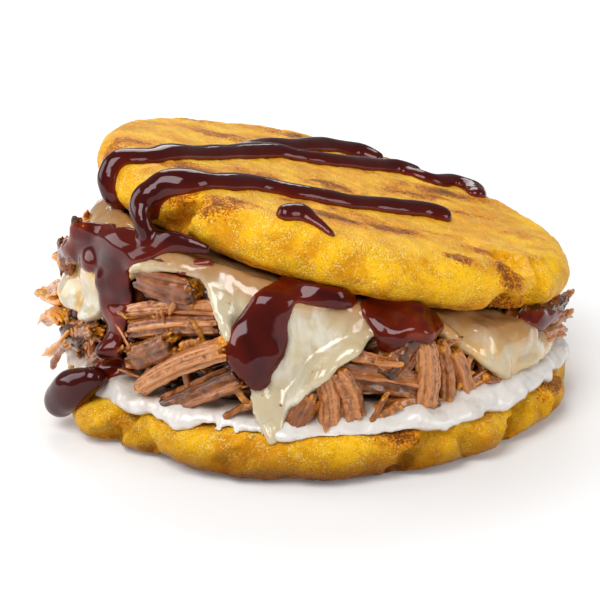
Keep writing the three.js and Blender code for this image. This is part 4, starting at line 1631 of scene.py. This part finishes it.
@dataclass
class CheeseSheet:
    """The sheet of melted cheese: it follows the upper cake's underside, bends and hangs in tongues."""

    cake: Tilt  # the upper cake
    node: str = "melted_cheese"
    columns: int = 420
    rows: int = 60
    inner_radius: float = 28.0  # mm
    shoulder: float = 47.2  # mm, the radius at which it hangs straight down
    sunken: float = 5.0  # mm by which the shoulder draws in where the filling has sunk
    gap: float = 1.2  # mm under the upper cake
    bend: float = 3.6  # mm, the bend's radius
    slumped_bend: float = 14.5  # mm more where the filling has sunk
    thickness: float = 1.5  # mm
    lip: float = 2.6  # mm, the thickness at its edge
    flare: float = 0.125  # mm outwards for each mm down
    splay: float = 0.030  # the same for the square of what hangs lower still
    splay_from: float = 9.0  # mm
    widest: float = 55.6  # mm
    clearance: float = 0.7  # mm off the meat

    def build(self, meat: Sequence[bpy.types.Object]) -> bpy.types.Object:
        """Models the sheet.

        Args:
            meat: the pieces that the sheet lies on.

        Returns:
            The finished piece, without its material.
        """
        sheet = tube("cheese_sheet", self.columns, self.rows + 1, "NOTHING")
        raw = points_of(sheet) * MM
        bearings = np.degrees(np.arctan2(raw[:, 0], -raw[:, 1]))
        shares = 0.5 - raw[:, 2]
        places = np.array([
            self._place(bearing, share, edge_of_cheese(bearing)) for bearing, share in zip(bearings, shares)
        ])
        self._lie_on(places, bearings, shares, meat)
        move_points(sheet, places)
        lip = sheet.vertex_groups.new(name="lip")
        for index, share in enumerate(shares):
            lip.add([index], float(smooth_step(0.90, 0.97, share)), "REPLACE")
        finish_with(
            sheet, "SOLIDIFY", thickness=self.lip * MM, offset=0.0,
            vertex_group=lip.name, thickness_vertex_group=self.thickness / self.lip,
        )
        soften(sheet, 3)
        remesh(sheet, 0.5)
        soften(sheet, 5)
        roughen(sheet, 7.0, 0.7)
        roughen(sheet, 2.6, 0.3)
        points = points_of(sheet)
        # How far below the upper cake each vertex is, for the painted shade there.
        store(sheet, "below", self.cake.underside(points[:, 0], points[:, 1]) - points[:, 2])
        return sheet

    def dress(self, sheet: bpy.types.Object) -> None:
        """Gives the finished sheet its look."""
        hand_over(sheet, "cheese", CheeseFinish().material(), self.node)

    def _lie_on(self, places: np.ndarray, bearings: np.ndarray, shares: np.ndarray,
                meat: Sequence[bpy.types.Object]) -> None:
        """Pushes the hanging part outwards, softly, where the meat stands out further than it.

        Args:
            places: the sheet's vertices in mm, changed here.
            bearings: the bearing of each vertex.
            shares: how far down the sheet each vertex is, from 0 to 1.
            meat: the pieces below the sheet.
        """
        columns = np.round(bearings / 360 * self.columns).astype(int) % self.columns
        rows = np.round(shares * self.rows).astype(int)
        pushes = np.zeros((self.columns, self.rows + 1))
        radii = np.hypot(places[:, 0], places[:, 1])
        for index, (column, row) in enumerate(zip(columns, rows)):
            if radii[index] < self.shoulder - 3 - 10 * slump(bearings[index]):
                continue
            start = polar(bearings[index], 80, places[index][2])
            found = land(meat, start, polar(bearings[index], -1).normalized())
            if found is not None:
                reach = math.hypot(found[0].x, found[0].y) / MM
                pushes[column, row] = max(-1.5, min(4.0, reach + self.clearance - radii[index]))
        pushes = np.maximum(self._blur(np.maximum(pushes, self._blur(pushes, 2)), 4), pushes - 0.3)
        pushes = self._blur(pushes, 1)
        shift = pushes[columns, rows]
        places[:, 0] += np.sin(np.radians(bearings)) * shift
        places[:, 1] -= np.cos(np.radians(bearings)) * shift

    @staticmethod
    def _blur(grid: np.ndarray, times: int) -> np.ndarray:
        """Evens out a grid that closes on itself in its first direction.

        Args:
            grid: numbers by column and row.
            times: how often.

        Returns:
            The new grid.
        """
        for _ in range(times):
            grid = (np.roll(grid, 1, 0) + grid * 2 + np.roll(grid, -1, 0)) / 4
            padded = np.pad(grid, ((0, 0), (1, 1)), mode="edge")
            grid = (padded[:, :-2] + padded[:, 1:-1] * 2 + padded[:, 2:]) / 4
        return grid

    def _place(self, bearing: float, share: float, edge: float) -> tuple[float, float, float]:
        """Finds where a part of the sheet lies.

        Args:
            bearing: in degrees.
            share: of the way from the inner ring to the edge.
            edge: height of the hanging edge, in mm.

        Returns:
            Its x, y and z, in mm.
        """
        bend = self.bend + self.slumped_bend * slump(bearing)
        shoulder = self.shoulder - self.sunken * slump(bearing) ** 2
        corner = polar(bearing, shoulder) / MM
        roof = self.cake.underside(corner.x, corner.y) - self.gap
        bend = min(bend, max(1.5, (roof - edge) * 0.8))
        flat = max(self.inner_radius, shoulder - bend)
        arc = bend * math.pi / 2
        drop = max(0.6, roof - bend - edge)
        total = (flat - self.inner_radius) + arc + drop
        run = share * total
        wobble = 0.9 * noise.noise(Vector((bearing * 0.11, share * 2.0, 3.0)))
        wobble += 0.5 * noise.noise(Vector((bearing * 0.42, share * 3.0, 7.0)))
        if run < flat - self.inner_radius:
            radius = self.inner_radius + run
            at = polar(bearing, radius) / MM
            return at.x, at.y, self.cake.underside(at.x, at.y) - self.gap
        run -= flat - self.inner_radius
        if run < arc:
            turn = run / bend
            at = polar(bearing, flat + bend * math.sin(turn)) / MM
            return at.x, at.y, roof - bend + bend * math.cos(turn)
        fall = run - arc
        radius = shoulder + fall * self.flare + self.splay * max(0.0, fall - self.splay_from) ** 2
        radius = min(radius, self.widest) + wobble * min(1.0, fall / 4)
        at = polar(bearing, radius) / MM
        return at.x, at.y, roof - bend - fall


# ---- Glaze --------------------------------------------------------------------------------------


@dataclass(frozen=True)
class Station:
    """One place on a run of glaze, with its half width and its thickness in mm.

    On the upper cake, a and b are x and y in the cake's own plane in mm, and past its flat top they
    reach down round the rim. On the filling and in the air, a is a bearing and b a height in mm. off is
    how far the run's middle stands off the surface, or off a fixed radius in the air.
    """

    a: float
    b: float
    wide: float
    thick: float
    off: float = 0.0


BACK_RIBBON = (
    Station(-49.6, -31.2, 2.1, 2.0), Station(-48.0, -29.6, 2.3, 2.3), Station(-46.2, -26.6, 2.7, 2.5),
    Station(-43.2, -24.4, 2.7, 2.4), Station(-38.2, -21.0, 2.6, 2.3), Station(-33.5, -14.5, 2.6, 2.2),
    Station(-28, -6.5, 2.5, 2.3), Station(-17, 8.5, 2.9, 2.5),
    Station(-9, 12.5, 2.4, 2.2), Station(-2, 17, 2.5, 2.3), Station(6, 25, 2.6, 2.3),
    Station(13, 31, 2.8, 2.5), Station(18, 33.5, 2.3, 2.0),
)
FAR_RIBBON = (
    Station(-22, 5, 2.0, 1.8), Station(-17, 15, 2.3, 2.1), Station(-10, 25, 2.6, 2.3),
    Station(-2, 35, 3.0, 2.5), Station(5, 40, 3.2, 2.5), Station(9.5, 38, 2.4, 2.0),
)
END_BLOB = (
    Station(15, 31.5, 1.8, 1.6), Station(21.5, 28, 2.2, 2.0), Station(27.5, 32.5, 2.8, 2.5),
    Station(32, 30.5, 3.2, 2.7), Station(32.5, 25, 2.4, 2.0),
)
FRONT_RIBBON = (
    Station(-38.4, -39.2, 2.6, 2.3), Station(-36.4, -37.6, 3.0, 2.8), Station(-33.4, -36.2, 3.3, 3.0),
    Station(-29.0, -35.6, 3.2, 2.8), Station(-25, -33.0, 2.9, 2.5), Station(-17, -25.2, 2.7, 2.4),
    Station(-10.5, -23.6, 2.7, 2.4), Station(-4.5, -21.5, 2.8, 2.4), Station(0.5, -19.6, 2.5, 2.2),
    Station(5.5, -15.4, 2.4, 2.2), Station(11.5, -11.8, 2.7, 2.4), Station(17, -8.6, 2.6, 2.4),
    Station(20.5, -8.2, 2.4, 2.3),
)
TOP_DROP = (
    Station(-11.3, -43.6, 2.3, 2.3), Station(-8.8, -42.6, 2.4, 2.4), Station(-6.2, -44.6, 1.5, 1.4),
    Station(-3.2, -46.8, 1.0, 0.9),
)
FALL = (
    Station(-40.6, 47.6, 2.6, 2.2, -2.6), Station(-41.6, 45.4, 2.3, 2.1, -1.5),
    Station(-39.6, 43.0, 1.7, 1.7, -0.3), Station(-38.0, 40.8, 1.5, 1.6, -0.3),
    Station(-37.4, 38.6, 2.4, 1.7, -1.0),
)
POOL = (
    Station(-22.5, 40.2, 1.2, 0.7), Station(-27, 40.6, 1.8, 0.9), Station(-32, 40.6, 2.2, 1.1),
    Station(-38.5, 38.6, 3.6, 1.3), Station(-46, 37.0, 4.8, 1.5), Station(-54, 35.4, 4.6, 1.4),
    Station(-62, 33.8, 2.8, 0.9),
)
LEFT_COAT = (
    Station(-50, 40.0, 1.8, 0.7), Station(-60, 38.6, 2.0, 0.7), Station(-70, 36.2, 1.8, 0.7),
    Station(-79, 33.6, 1.4, 0.6),
)
LEFT_STREAK = (
    Station(-58, 35.6, 2.2, 0.8), Station(-66, 33.0, 1.5, 0.7), Station(-72, 31.0, 1.1, 0.6),
)
FLOW = (
    Station(-47.5, 34.5, 5.0, 1.7), Station(-47.5, 30.0, 4.6, 1.7), Station(-48.2, 25.5, 4.3, 1.8),
    Station(-48.0, 21.0, 3.7, 1.8), Station(-47.2, 17.4, 2.9, 1.9), Station(-47.0, 14.8, 2.4, 1.9),
)
RIM_BLOB = (
    Station(-46.5, 14.8, 2.2, 1.8), Station(-48.0, 13.2, 2.6, 2.3), Station(-50.5, 11.6, 3.0, 2.6),
)
RIM_DROP = (
    Station(-48.0, 12.8, 2.6, 2.4, 7.0), Station(-51.0, 11.0, 3.3, 2.8, 8.2),
    Station(-54.4, 8.8, 3.9, 3.0, 9.0), Station(-57.6, 6.2, 3.7, 3.0, 9.4),
)
CENTRE_TONGUE = (
    Station(-4.0, 33.4, 3.0, 1.2), Station(-7.4, 30.4, 3.9, 1.6), Station(-9.2, 26.4, 5.0, 1.9),
    Station(-10.0, 22.8, 5.0, 2.1), Station(-9.8, 20.2, 3.8, 2.1), Station(-9.4, 18.6, 2.4, 1.8),
)
CENTRE_SPILL = (
    Station(-4.0, 33.4, 2.2, 1.0), Station(2, 33.0, 2.2, 1.0), Station(8, 32.0, 2.0, 1.0),
    Station(11.5, 31.0, 1.5, 0.9),
)
RIGHT_TONGUE = (
    Station(14.5, 29.2, 2.2, 1.0), Station(19, 28.2, 3.8, 1.3), Station(25, 27.0, 3.8, 1.3),
    Station(30.5, 25.8, 2.4, 1.0),
)
RIGHT_LOBE = (
    Station(18.2, 27.4, 3.8, 1.4), Station(17.6, 24.8, 2.8, 1.5), Station(17.0, 22.8, 1.8, 1.4),
)
RIGHT_END = (
    Station(58.0, 21.4, 1.8, 0.7), Station(62.5, 20.4, 2.4, 0.8), Station(67.0, 19.8, 1.9, 0.8),
    Station(70.5, 19.4, 1.2, 0.6),
)
SPOTS = (
    (Station(-36.0, 37.2, 0.7, 0.4), Station(-31.5, 37.2, 0.7, 0.4)),
    (Station(-24.4, 37.8, 1.0, 0.5), Station(-21.4, 37.8, 1.0, 0.5)),
    (Station(-28.0, 35.6, 0.8, 0.4), Station(-25.6, 35.8, 0.8, 0.4)),
)


class Lies(Enum):
    """What a run of glaze lies on."""

    ON_CAKE = "upper cake"
    ON_SIDE = "filling"
    FREE = "nothing"


@dataclass(frozen=True)
class Patch:
    """One connected patch of glaze: its piece, the CAD solids that it stands for, and its runs."""

    name: str
    nodes: tuple[str, ...]
    runs: tuple[tuple[Lies, Sequence[Station]], ...]


PATCHES = (
    Patch("glaze_front", ("glaze_front_run",), (
        (Lies.ON_CAKE, FRONT_RIBBON), (Lies.FREE, FALL), (Lies.ON_SIDE, POOL), (Lies.ON_SIDE, LEFT_COAT),
        (Lies.ON_SIDE, LEFT_STREAK), (Lies.ON_SIDE, FLOW), (Lies.ON_SIDE, RIM_BLOB), (Lies.FREE, RIM_DROP),
    )),
    Patch("glaze_back", ("glaze_back_ribbon",), (
        (Lies.ON_CAKE, BACK_RIBBON), (Lies.ON_CAKE, FAR_RIBBON), (Lies.ON_CAKE, END_BLOB),
    )),
    Patch("glaze_drop", ("glaze_top_drop",), ((Lies.ON_CAKE, TOP_DROP),)),
    Patch("glaze_centre", ("glaze_centre_tongue",), (
        (Lies.ON_SIDE, CENTRE_TONGUE), (Lies.ON_SIDE, CENTRE_SPILL),
    )),
    Patch("glaze_right", ("glaze_right_tongue",), (
        (Lies.ON_SIDE, RIGHT_TONGUE), (Lies.ON_SIDE, RIGHT_LOBE),
    )),
    Patch("glaze_end", ("glaze_right_end",), ((Lies.ON_SIDE, RIGHT_END),)),
    Patch("glaze_spots", (), tuple((Lies.ON_SIDE, spot) for spot in SPOTS)),
)


@dataclass
class GlazePour:
    """Makes runs of glaze: beads that lie on a surface along a path, melted into one smooth piece."""

    cake: Tilt
    top: bpy.types.Object
    side: Sequence[bpy.types.Object]
    around: int = 26
    across: int = 13  # places at which the surface below is felt for
    step: float = 0.7  # mm
    sunk: float = 0.9  # mm
    voxel: float = 0.40  # mm
    above: float = 7.0  # mm, from where the surface is felt for
    free_radius: float = 46.0  # mm, from which a run in the air is measured
    bare_radius: float = 47.0  # mm, where a run lies if nothing is found below it
    waver: float = 0.22  # share by which the width varies

    def pour(self, patch: Patch) -> bpy.types.Object:
        """Models one connected piece of glaze from its runs.

        Args:
            patch: its name and runs.

        Returns:
            The finished piece, without its material.
        """
        bead = join([self._bead(lies, run) for lies, run in patch.runs], patch.name)
        remesh(bead, self.voxel)
        soften(bead, 7)
        remesh(bead, self.voxel)
        soften(bead, 4)
        self._measure_depth(bead)
        return bead

    @staticmethod
    def dress(pieces: Sequence[bpy.types.Object]) -> None:
        """Gives the finished patches their look.

        Args:
            pieces: one for each patch, in order.
        """
        glaze = GlazeFinish().material()
        for piece, patch in zip(pieces, PATCHES):
            hand_over(piece, "glaze", glaze, *patch.nodes)

    def _measure_depth(self, bead: bpy.types.Object) -> None:
        """Stores how far each vertex stands off what the glaze lies on, in mm.

        Args:
            bead: the finished shape.
        """
        under = [self.top, *self.side]
        depths = []
        for vertex in bead.data.vertices:
            spans = []
            for piece in under:
                hit, point, _, _ = piece.closest_point_on_mesh(vertex.co, distance=5 * MM)
                if hit:
                    spans.append((point - vertex.co).length / MM)
            depths.append(min(spans, default=5.0))
        store(bead, "depth", np.array(depths))

    def _bead(self, lies: Lies, run: Sequence[Station]) -> bpy.types.Object:
        """Models the bead of one run.

        Args:
            lies: what the run lies on.
            run: its stations.

        Returns:
            The bead.
        """
        rings = self._rings(lies, run)
        bead = tube("bead", self.around, len(rings), "NGON")
        raw = points_of(bead) * MM
        row = np.round((raw[:, 2] + 0.5) * (len(rings) - 1)).astype(int)
        centres, sides, ups, wide, thick = (np.array(column)[row] for column in zip(*rings))
        level = self._levels(lies, rings)
        across = raw[:, 0]
        column = np.round((across + 1) / 2 * (self.across - 1)).astype(int)
        below = thick if lies is Lies.FREE else np.minimum(self.sunk, thick)
        offset = level[row, column] + np.where(raw[:, 1] > 0, thick, below) * raw[:, 1]
        move_points(bead, centres + sides * (across * wide)[:, None] + ups * offset[:, None])
        return bead

    def _levels(self, lies: Lies, rings: Sequence[tuple]) -> np.ndarray:
        """Feels for the surface across the width of each ring.

        Args:
            lies: what the run lies on.
            rings: the rings of one run.

        Returns:
            A row for each ring: mm above or below its centre.
        """
        level = np.zeros((len(rings), self.across))
        if lies is Lies.FREE:
            return level
        below = [self.top] if lies is Lies.ON_CAKE else self.side
        for row, (centre, side, up, wide, _) in enumerate(rings):
            for column, across in enumerate(np.linspace(-1, 1, self.across)):
                start = Vector(centre + side * across * wide + up * self.above) * MM
                found = land(below, start, -Vector(up))
                drop = self.above if found is None else (found[0] - start).length / MM
                level[row, column] = self.above - drop
        level = np.clip(level, -1.6, 2.2)
        return self._even(np.maximum(level, self._even(level, 9)), 5)

    @staticmethod
    def _even(grid: np.ndarray, times: int) -> np.ndarray:
        """Evens out a grid.

        Args:
            grid: any numbers in rows.
            times: how often.

        Returns:
            The new grid.
        """
        for _ in range(times):
            padded = np.pad(grid, 1, mode="edge")
            around = padded[:-2, 1:-1] + padded[2:, 1:-1] + padded[1:-1, :-2] + padded[1:-1, 2:]
            grid = (around + grid * 2) / 6
        return grid

    def _rings(self, lies: Lies, run: Sequence[Station]) -> list[tuple]:
        """Sets rings along one run.

        Args:
            lies: what the run lies on.
            run: its stations.

        Returns:
            Each ring's centre, sideways and upward directions, half width and thickness, in mm.
        """
        spots = [self._spot(lies, station) for station in run]
        found = []
        for index in range(len(run) - 1):
            first, last = run[index], run[index + 1]
            (start, up_start), (end, up_end) = spots[index], spots[index + 1]
            before = spots[max(0, index - 1)][0]
            after = spots[min(len(run) - 1, index + 2)][0]
            steps = max(2, int((end - start).length / (self.step * MM)))
            for step in range(steps + (index == len(run) - 2)):
                share = step / steps
                at = self._curve(before, start, end, after, share)
                ahead = self._curve(before, start, end, after, share + 0.02)
                up = up_start.lerp(up_end, share).normalized()
                side = (ahead - at).cross(up).normalized()
                blend = smooth_step(0, 1, share)
                wide = first.wide + (last.wide - first.wide) * blend
                thick = first.thick + (last.thick - first.thick) * blend
                wide *= 1 + self.waver * noise.noise(at / MM * 0.16)
                found.append([np.array(at) / MM, np.array(side), np.array(up), wide, thick])
        self._round_ends(found)
        return found

    @staticmethod
    def _round_ends(rings: list[list]) -> None:
        """Narrows a run to round ends, past its first and last station.

        Args:
            rings: the rings of one run, changed here.
        """
        for end, inner in ((0, 1), (-1, -2)):
            centre, side, up, wide, thick = rings[end]
            out = centre - rings[inner][0]
            out /= max(1e-6, np.linalg.norm(out))
            cap = []
            for angle in (0.35, 0.62, 0.82, 0.94, 1.0):
                narrow = math.cos(angle * math.pi / 2) + 0.02
                cap.append([
                    centre + out * wide * 0.9 * math.sin(angle * math.pi / 2), side, up,
                    wide * narrow, thick * (0.25 + 0.75 * narrow),
                ])
            rings[:] = cap[::-1] + rings if end == 0 else rings + cap

    @staticmethod
    def _curve(before: Vector, start: Vector, end: Vector, after: Vector, share: float) -> Vector:
        """A point on a smooth curve through four points.

        Args:
            before: the first point.
            start: the second.
            end: the third.
            after: the fourth.
            share: of the way from start to end.

        Returns:
            The point.
        """
        squared, cubed = share * share, share ** 3
        return 0.5 * (
            start * 2
            + (end - before) * share
            + (before * 2 - start * 5 + end * 4 - after) * squared
            + (start * 3 - before - end * 3 + after) * cubed
        )

    def _spot(self, lies: Lies, station: Station) -> tuple[Vector, Vector]:
        """Finds where a station lies.

        Args:
            lies: what the run lies on.
            station: a place on the run.

        Returns:
            Its place, and the way out of the surface there.
        """
        if lies is Lies.ON_CAKE:
            return self._on_cake(station)
        outward = polar(station.a, 1).normalized()
        if lies is Lies.FREE:
            return polar(station.a, self.free_radius + station.off, station.b), outward
        found = land(self.side, polar(station.a, 90, station.b), -outward)
        reach = self.bare_radius if found is None else math.hypot(found[0].x, found[0].y) / MM
        up = (outward + UP * 0.25).normalized()
        return polar(station.a, reach + station.off, station.b), up

    def _on_cake(self, station: Station) -> tuple[Vector, Vector]:
        """Lands a station on the upper cake's top or rim.

        Args:
            station: a place in the cake's own plane.

        Returns:
            Its place, and the way out of the surface there.
        """
        edge = self.cake.thickness * 0.62
        half = self.cake.thickness / 2
        distance = math.hypot(station.a, station.b)
        outward = Vector((station.a, station.b, 0)).normalized()
        flat = self.cake.radius - edge
        turn = max(0.0, (distance - flat) / ((edge + half) / 2))
        reach = min(distance, flat) + edge * math.sin(turn)
        local = outward * reach + UP * half * math.cos(turn)
        up = (outward * half * math.sin(turn) + UP * edge * math.cos(turn)).normalized()
        at = self.cake.world(*local)
        up = (self.cake.turn @ up).normalized()
        found = land([self.top], at + up * 8 * MM, -up)
        if found is not None:
            at = found[0]
        return at + up * station.off * MM, up


# ---- Studio -------------------------------------------------------------------------------------


@dataclass(frozen=True)
class Lamp:
    """A square soft light that faces the food: its place and side in metres, and its power in watts."""

    place: tuple[float, float, float]
    side: float
    power: float


@dataclass
class Studio:
    """A pale floor, soft lights all round and the camera."""

    aim: Vector = field(default_factory=lambda: Vector((-0.95, 0.0, 16.3)) * MM)
    distance: float = 0.280  # metres
    elevation: float = 18.6  # degrees
    lens: float = 80.0
    key: Lamp = Lamp((-0.24, -0.44, 0.60), 0.44, 4.5)
    fill: Lamp = Lamp((0.55, -0.30, 0.30), 0.30, 1.3)
    rim: Lamp = Lamp((-0.05, 0.50, 0.50), 0.45, 2.6)
    left: Lamp = Lamp((-0.50, 0.04, 0.24), 0.30, 1.0)
    surround: float = 0.22  # strength of the white all round
    floor_side: float = 30.0  # metres
    floor_drop: float = 0.02  # mm below the food
    near: float = 150.0  # mm, where the floor's own glow starts to grow
    far: float = 620.0  # mm, where it is full
    dim: float = 0.10
    bright: float = 0.68

    def build(self) -> None:
        """Sets up everything around the food."""
        self._floor()
        self._camera()
        self._surround()
        for lamp in (self.key, self.fill, self.rim, self.left):
            self._hang(lamp)
        settings = bpy.context.scene.view_settings
        settings.view_transform = "Standard"
        settings.look = "None"

    def _camera(self) -> None:
        """Looks at the food from slightly above its front."""
        rise = math.radians(self.elevation)
        back = Vector((0, -math.cos(rise), math.sin(rise)))
        bpy.ops.object.camera_add(location=self.aim + back * self.distance)
        camera = bpy.context.object
        camera.rotation_euler = back.to_track_quat("Z", "Y").to_euler()
        camera.data.lens = self.lens
        camera.data.clip_start = 0.01
        bpy.context.scene.camera = camera

    def _floor(self) -> None:
        """A plain pale floor that fades into the surround."""
        bpy.ops.mesh.primitive_plane_add(size=self.floor_side, location=(0, 0, -self.floor_drop * MM))
        floor = bpy.context.object
        floor.name = "floor"
        g = Graph("floor")
        distance = g.number("ShaderNodeVectorMath", {"operation": "LENGTH"}, {0: g.place()}, "Value")
        glow = g.blend(distance.step(self.near, self.far), (self.dim,) * 3, (self.bright,) * 3)
        floor.data.materials.append(g.surface(
            (0.82, 0.82, 0.82), 0.6, specular_ior_level=0.2, emission_color=glow, emission_strength=1.0
        ))
        floor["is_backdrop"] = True

    def _surround(self) -> None:
        """An even white light from all round."""
        world = bpy.data.worlds.new("surround")
        world.use_nodes = True
        background = world.node_tree.nodes["Background"]
        background.inputs[0].default_value = (1.0, 1.0, 1.0, 1.0)
        background.inputs[1].default_value = self.surround
        bpy.context.scene.world = world

    def _hang(self, lamp: Lamp) -> None:
        """Hangs one light and turns it to the food.

        Args:
            lamp: what to hang.
        """
        bpy.ops.object.light_add(type="AREA", location=lamp.place)
        light = bpy.context.object
        light.data.size = lamp.side
        light.data.energy = lamp.power
        light.rotation_euler = (Vector(lamp.place) - self.aim).to_track_quat("Z", "Y").to_euler()


# ---- The whole ----------------------------------------------------------------------------------


BOTTOM_DENTS = (
    *crack(-42, -2.5, 3.0, -2.2, 2.6, 4), *crack(-33, -3.5, 1.0, -1.6, 2.4, -6),
    *crack(-14, -1.0, 2.5, -1.2, 2.2, 5), *crack(19.5, -3.0, 2.0, -2.0, 2.4, 8),
    *crack(29, -1.0, 3.0, -1.2, 2.4, -6), *crack(45, -3.0, 2.5, -2.4, 2.8, 7),
    *crack(58, -2.0, 1.0, -1.4, 2.4, -5),
    Dent(-26, 0.0, 0.9, 6.0), Dent(-5, -2.0, -0.8, 5.0), Dent(12, -2.0, -0.8, 5.0),
    Dent(37, 0.0, 0.8, 6.0), Dent(72, 1.0, -1.4, 5.0), Dent(100, 0, -1.5, 5.0),
    Dent(125, 0.5, -1.2, 4.0), Dent(150, 0.5, -1.2, 4.0), Dent(-50, -1.0, 2.8, 13.0),
    Dent(-75, 0, -1.4, 8.0), Dent(-90, 0, -2.0, 12.0), Dent(-120, 0, -1.6, 5.0), Dent(-165, 0, -1.2, 5.0),
)
TOP_DENTS = (
    *crack(-36.2, -3.0, 1.6, -1.9, 2.2, 5), *crack(-33.5, -4.4, -1.6, -1.6, 2.2, -5),
    *crack(52, -3.0, 4.4, -2.2, 2.2, 7), *crack(54.5, -3.4, 2.0, -1.3, 2.2, 0),
    Dent(46, 4.2, -2.6, 4.2, -3.2, 3.0), Dent(43, 4.6, -1.4, 3.4, -2.6, 6.0),
    Dent(40, -3.0, -3.4, 4.0, 1.2), Dent(45, -3.2, -2.8, 3.4, 0.6), Dent(36, -3.6, -1.6, 2.8),
    Dent(62, 3.0, -1.4, 3.6, -1.0, 2.0), Dent(47, 0.5, -1.2, 2.6), Dent(60, -1.0, 0.8, 5.0),
    Dent(-60, 4.2, -1.6, 4.5, -0.8, 3.0), Dent(-50, 1.0, 0.9, 5.0),
    Dent(-30, 2.0, 0.8, 5.5), Dent(10, 0.0, 0.9, 8.0), Dent(24, 1.0, 0.7, 6.0),
    Dent(-8, -2.5, -0.7, 4.0), Dent(2, -3.4, -0.6, 3.0), Dent(100, 0, -1.4, 5.0),
    Dent(150, 0, -1.2, 6.0), Dent(-100, 0.5, -1.4, 5.0), Dent(-140, 0, -1.2, 6.0),
)
TOP_TOAST = (
    Toast(-29, -22, 6.0, 3.6, 12, 0.85), Toast(-17, -13.5, 5.0, 3.0, 10, 0.85),
    Toast(-2.5, -5.5, 5.5, 3.6, 12, 0.9), Toast(-42, -13, 6.5, 3.0, 30, 0.75),
    Toast(-47, -19, 3.5, 2.5, 30, 0.8), Toast(-27, 17, 7.0, 3.6, 10, 0.8),
    Toast(-11.5, 27, 6.5, 3.6, 5, 0.85), Toast(-22, -42, 5.0, 2.4, 12, 0.8),
    Toast(-30.5, -39.5, 2.6, 1.6, 20, 0.7), Toast(-9.5, -29.5, 4.0, 3.0, 10, 0.65),
    Toast(-2.0, -35.0, 6.0, 3.0, 12, 1.0), Toast(8.0, -31.0, 6.0, 3.2, 15, 0.95),
    Toast(1.0, -26.0, 7.0, 2.2, 15, 0.6), Toast(17.5, -26.0, 4.0, 2.0, 15, 0.5),
    Toast(20.5, -40.0, 3.2, 1.5, 10, 0.85), Toast(26.0, -31.0, 4.0, 1.6, 10, 0.7),
    Toast(16.0, 8, 7, 3.0, 20, 0.8), Toast(24, 18, 9, 3.6, 20, 0.95), Toast(28, 2, 7, 1.8, 20, 0.65),
    Toast(36, -6, 4.5, 1.6, 15, 0.5), Toast(-8, 40, 10, 3.2, 5, 0.9), Toast(12, 43, 9, 2.6, -12, 0.9),
    Toast(30.5, -38, 2.0, 3.0, 60, 0.8), Toast(36, 28, 8, 2.5, -30, 0.7), Toast(-36, 30, 6, 3, 30, 0.7),
    Toast(33, -37, 1.6, 5.0, 70, 0.75), Toast(6, 20, 8, 2.0, 15, 0.45), Toast(-8, 6, 6, 2.0, 15, 0.4),
    *scattered_toast(5, 26, -1, 42),
)
BOTTOM_TOAST = (
    Toast(14.6, -50.5, 4.0, 1.6, 10, 1.0), Toast(46, -25, 4.5, 3.0, 60, 0.85),
    Toast(-44, -30, 4.0, 2.5, -50, 0.7), Toast(30, -42, 3.0, 1.4, 30, 0.5),
    *scattered_toast(8, 30, -1, 46), *scattered_toast(9, 12, 1, 50),
)


def main() -> None:
    """Builds every piece in order, then dresses them and sets up the studio."""
    logging.basicConfig(level=logging.INFO, format="%(message)s")
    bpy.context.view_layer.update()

    lower = CornCake("lower_cake", "bottom_cake", BOTTOM_DENTS, BOTTOM_TOAST, shade=0.30)
    upper = CornCake("upper_cake", "top_cake", TOP_DENTS, TOP_TOAST, shade=0.9)
    spread = CreamLayer()
    heap = PorkHeap(upper.tilt)
    melt = CheeseSheet(upper.tilt)
    bottom = lower.build()
    top = upper.build()
    cream = spread.build()
    meat = heap.build()
    cheese = melt.build(meat)
    meat.append(heap.sauced())
    pour = GlazePour(upper.tilt, top, [cheese, *meat, cream, bottom])
    glaze = [pour.pour(patch) for patch in PATCHES]

    lower.dress(bottom)
    upper.dress(top)
    spread.dress(cream)
    heap.dress(meat)
    melt.dress(cheese)
    pour.dress(glaze)
    Studio().build()
    bpy.context.view_layer.update()


if __name__ == "__main__":
    main()
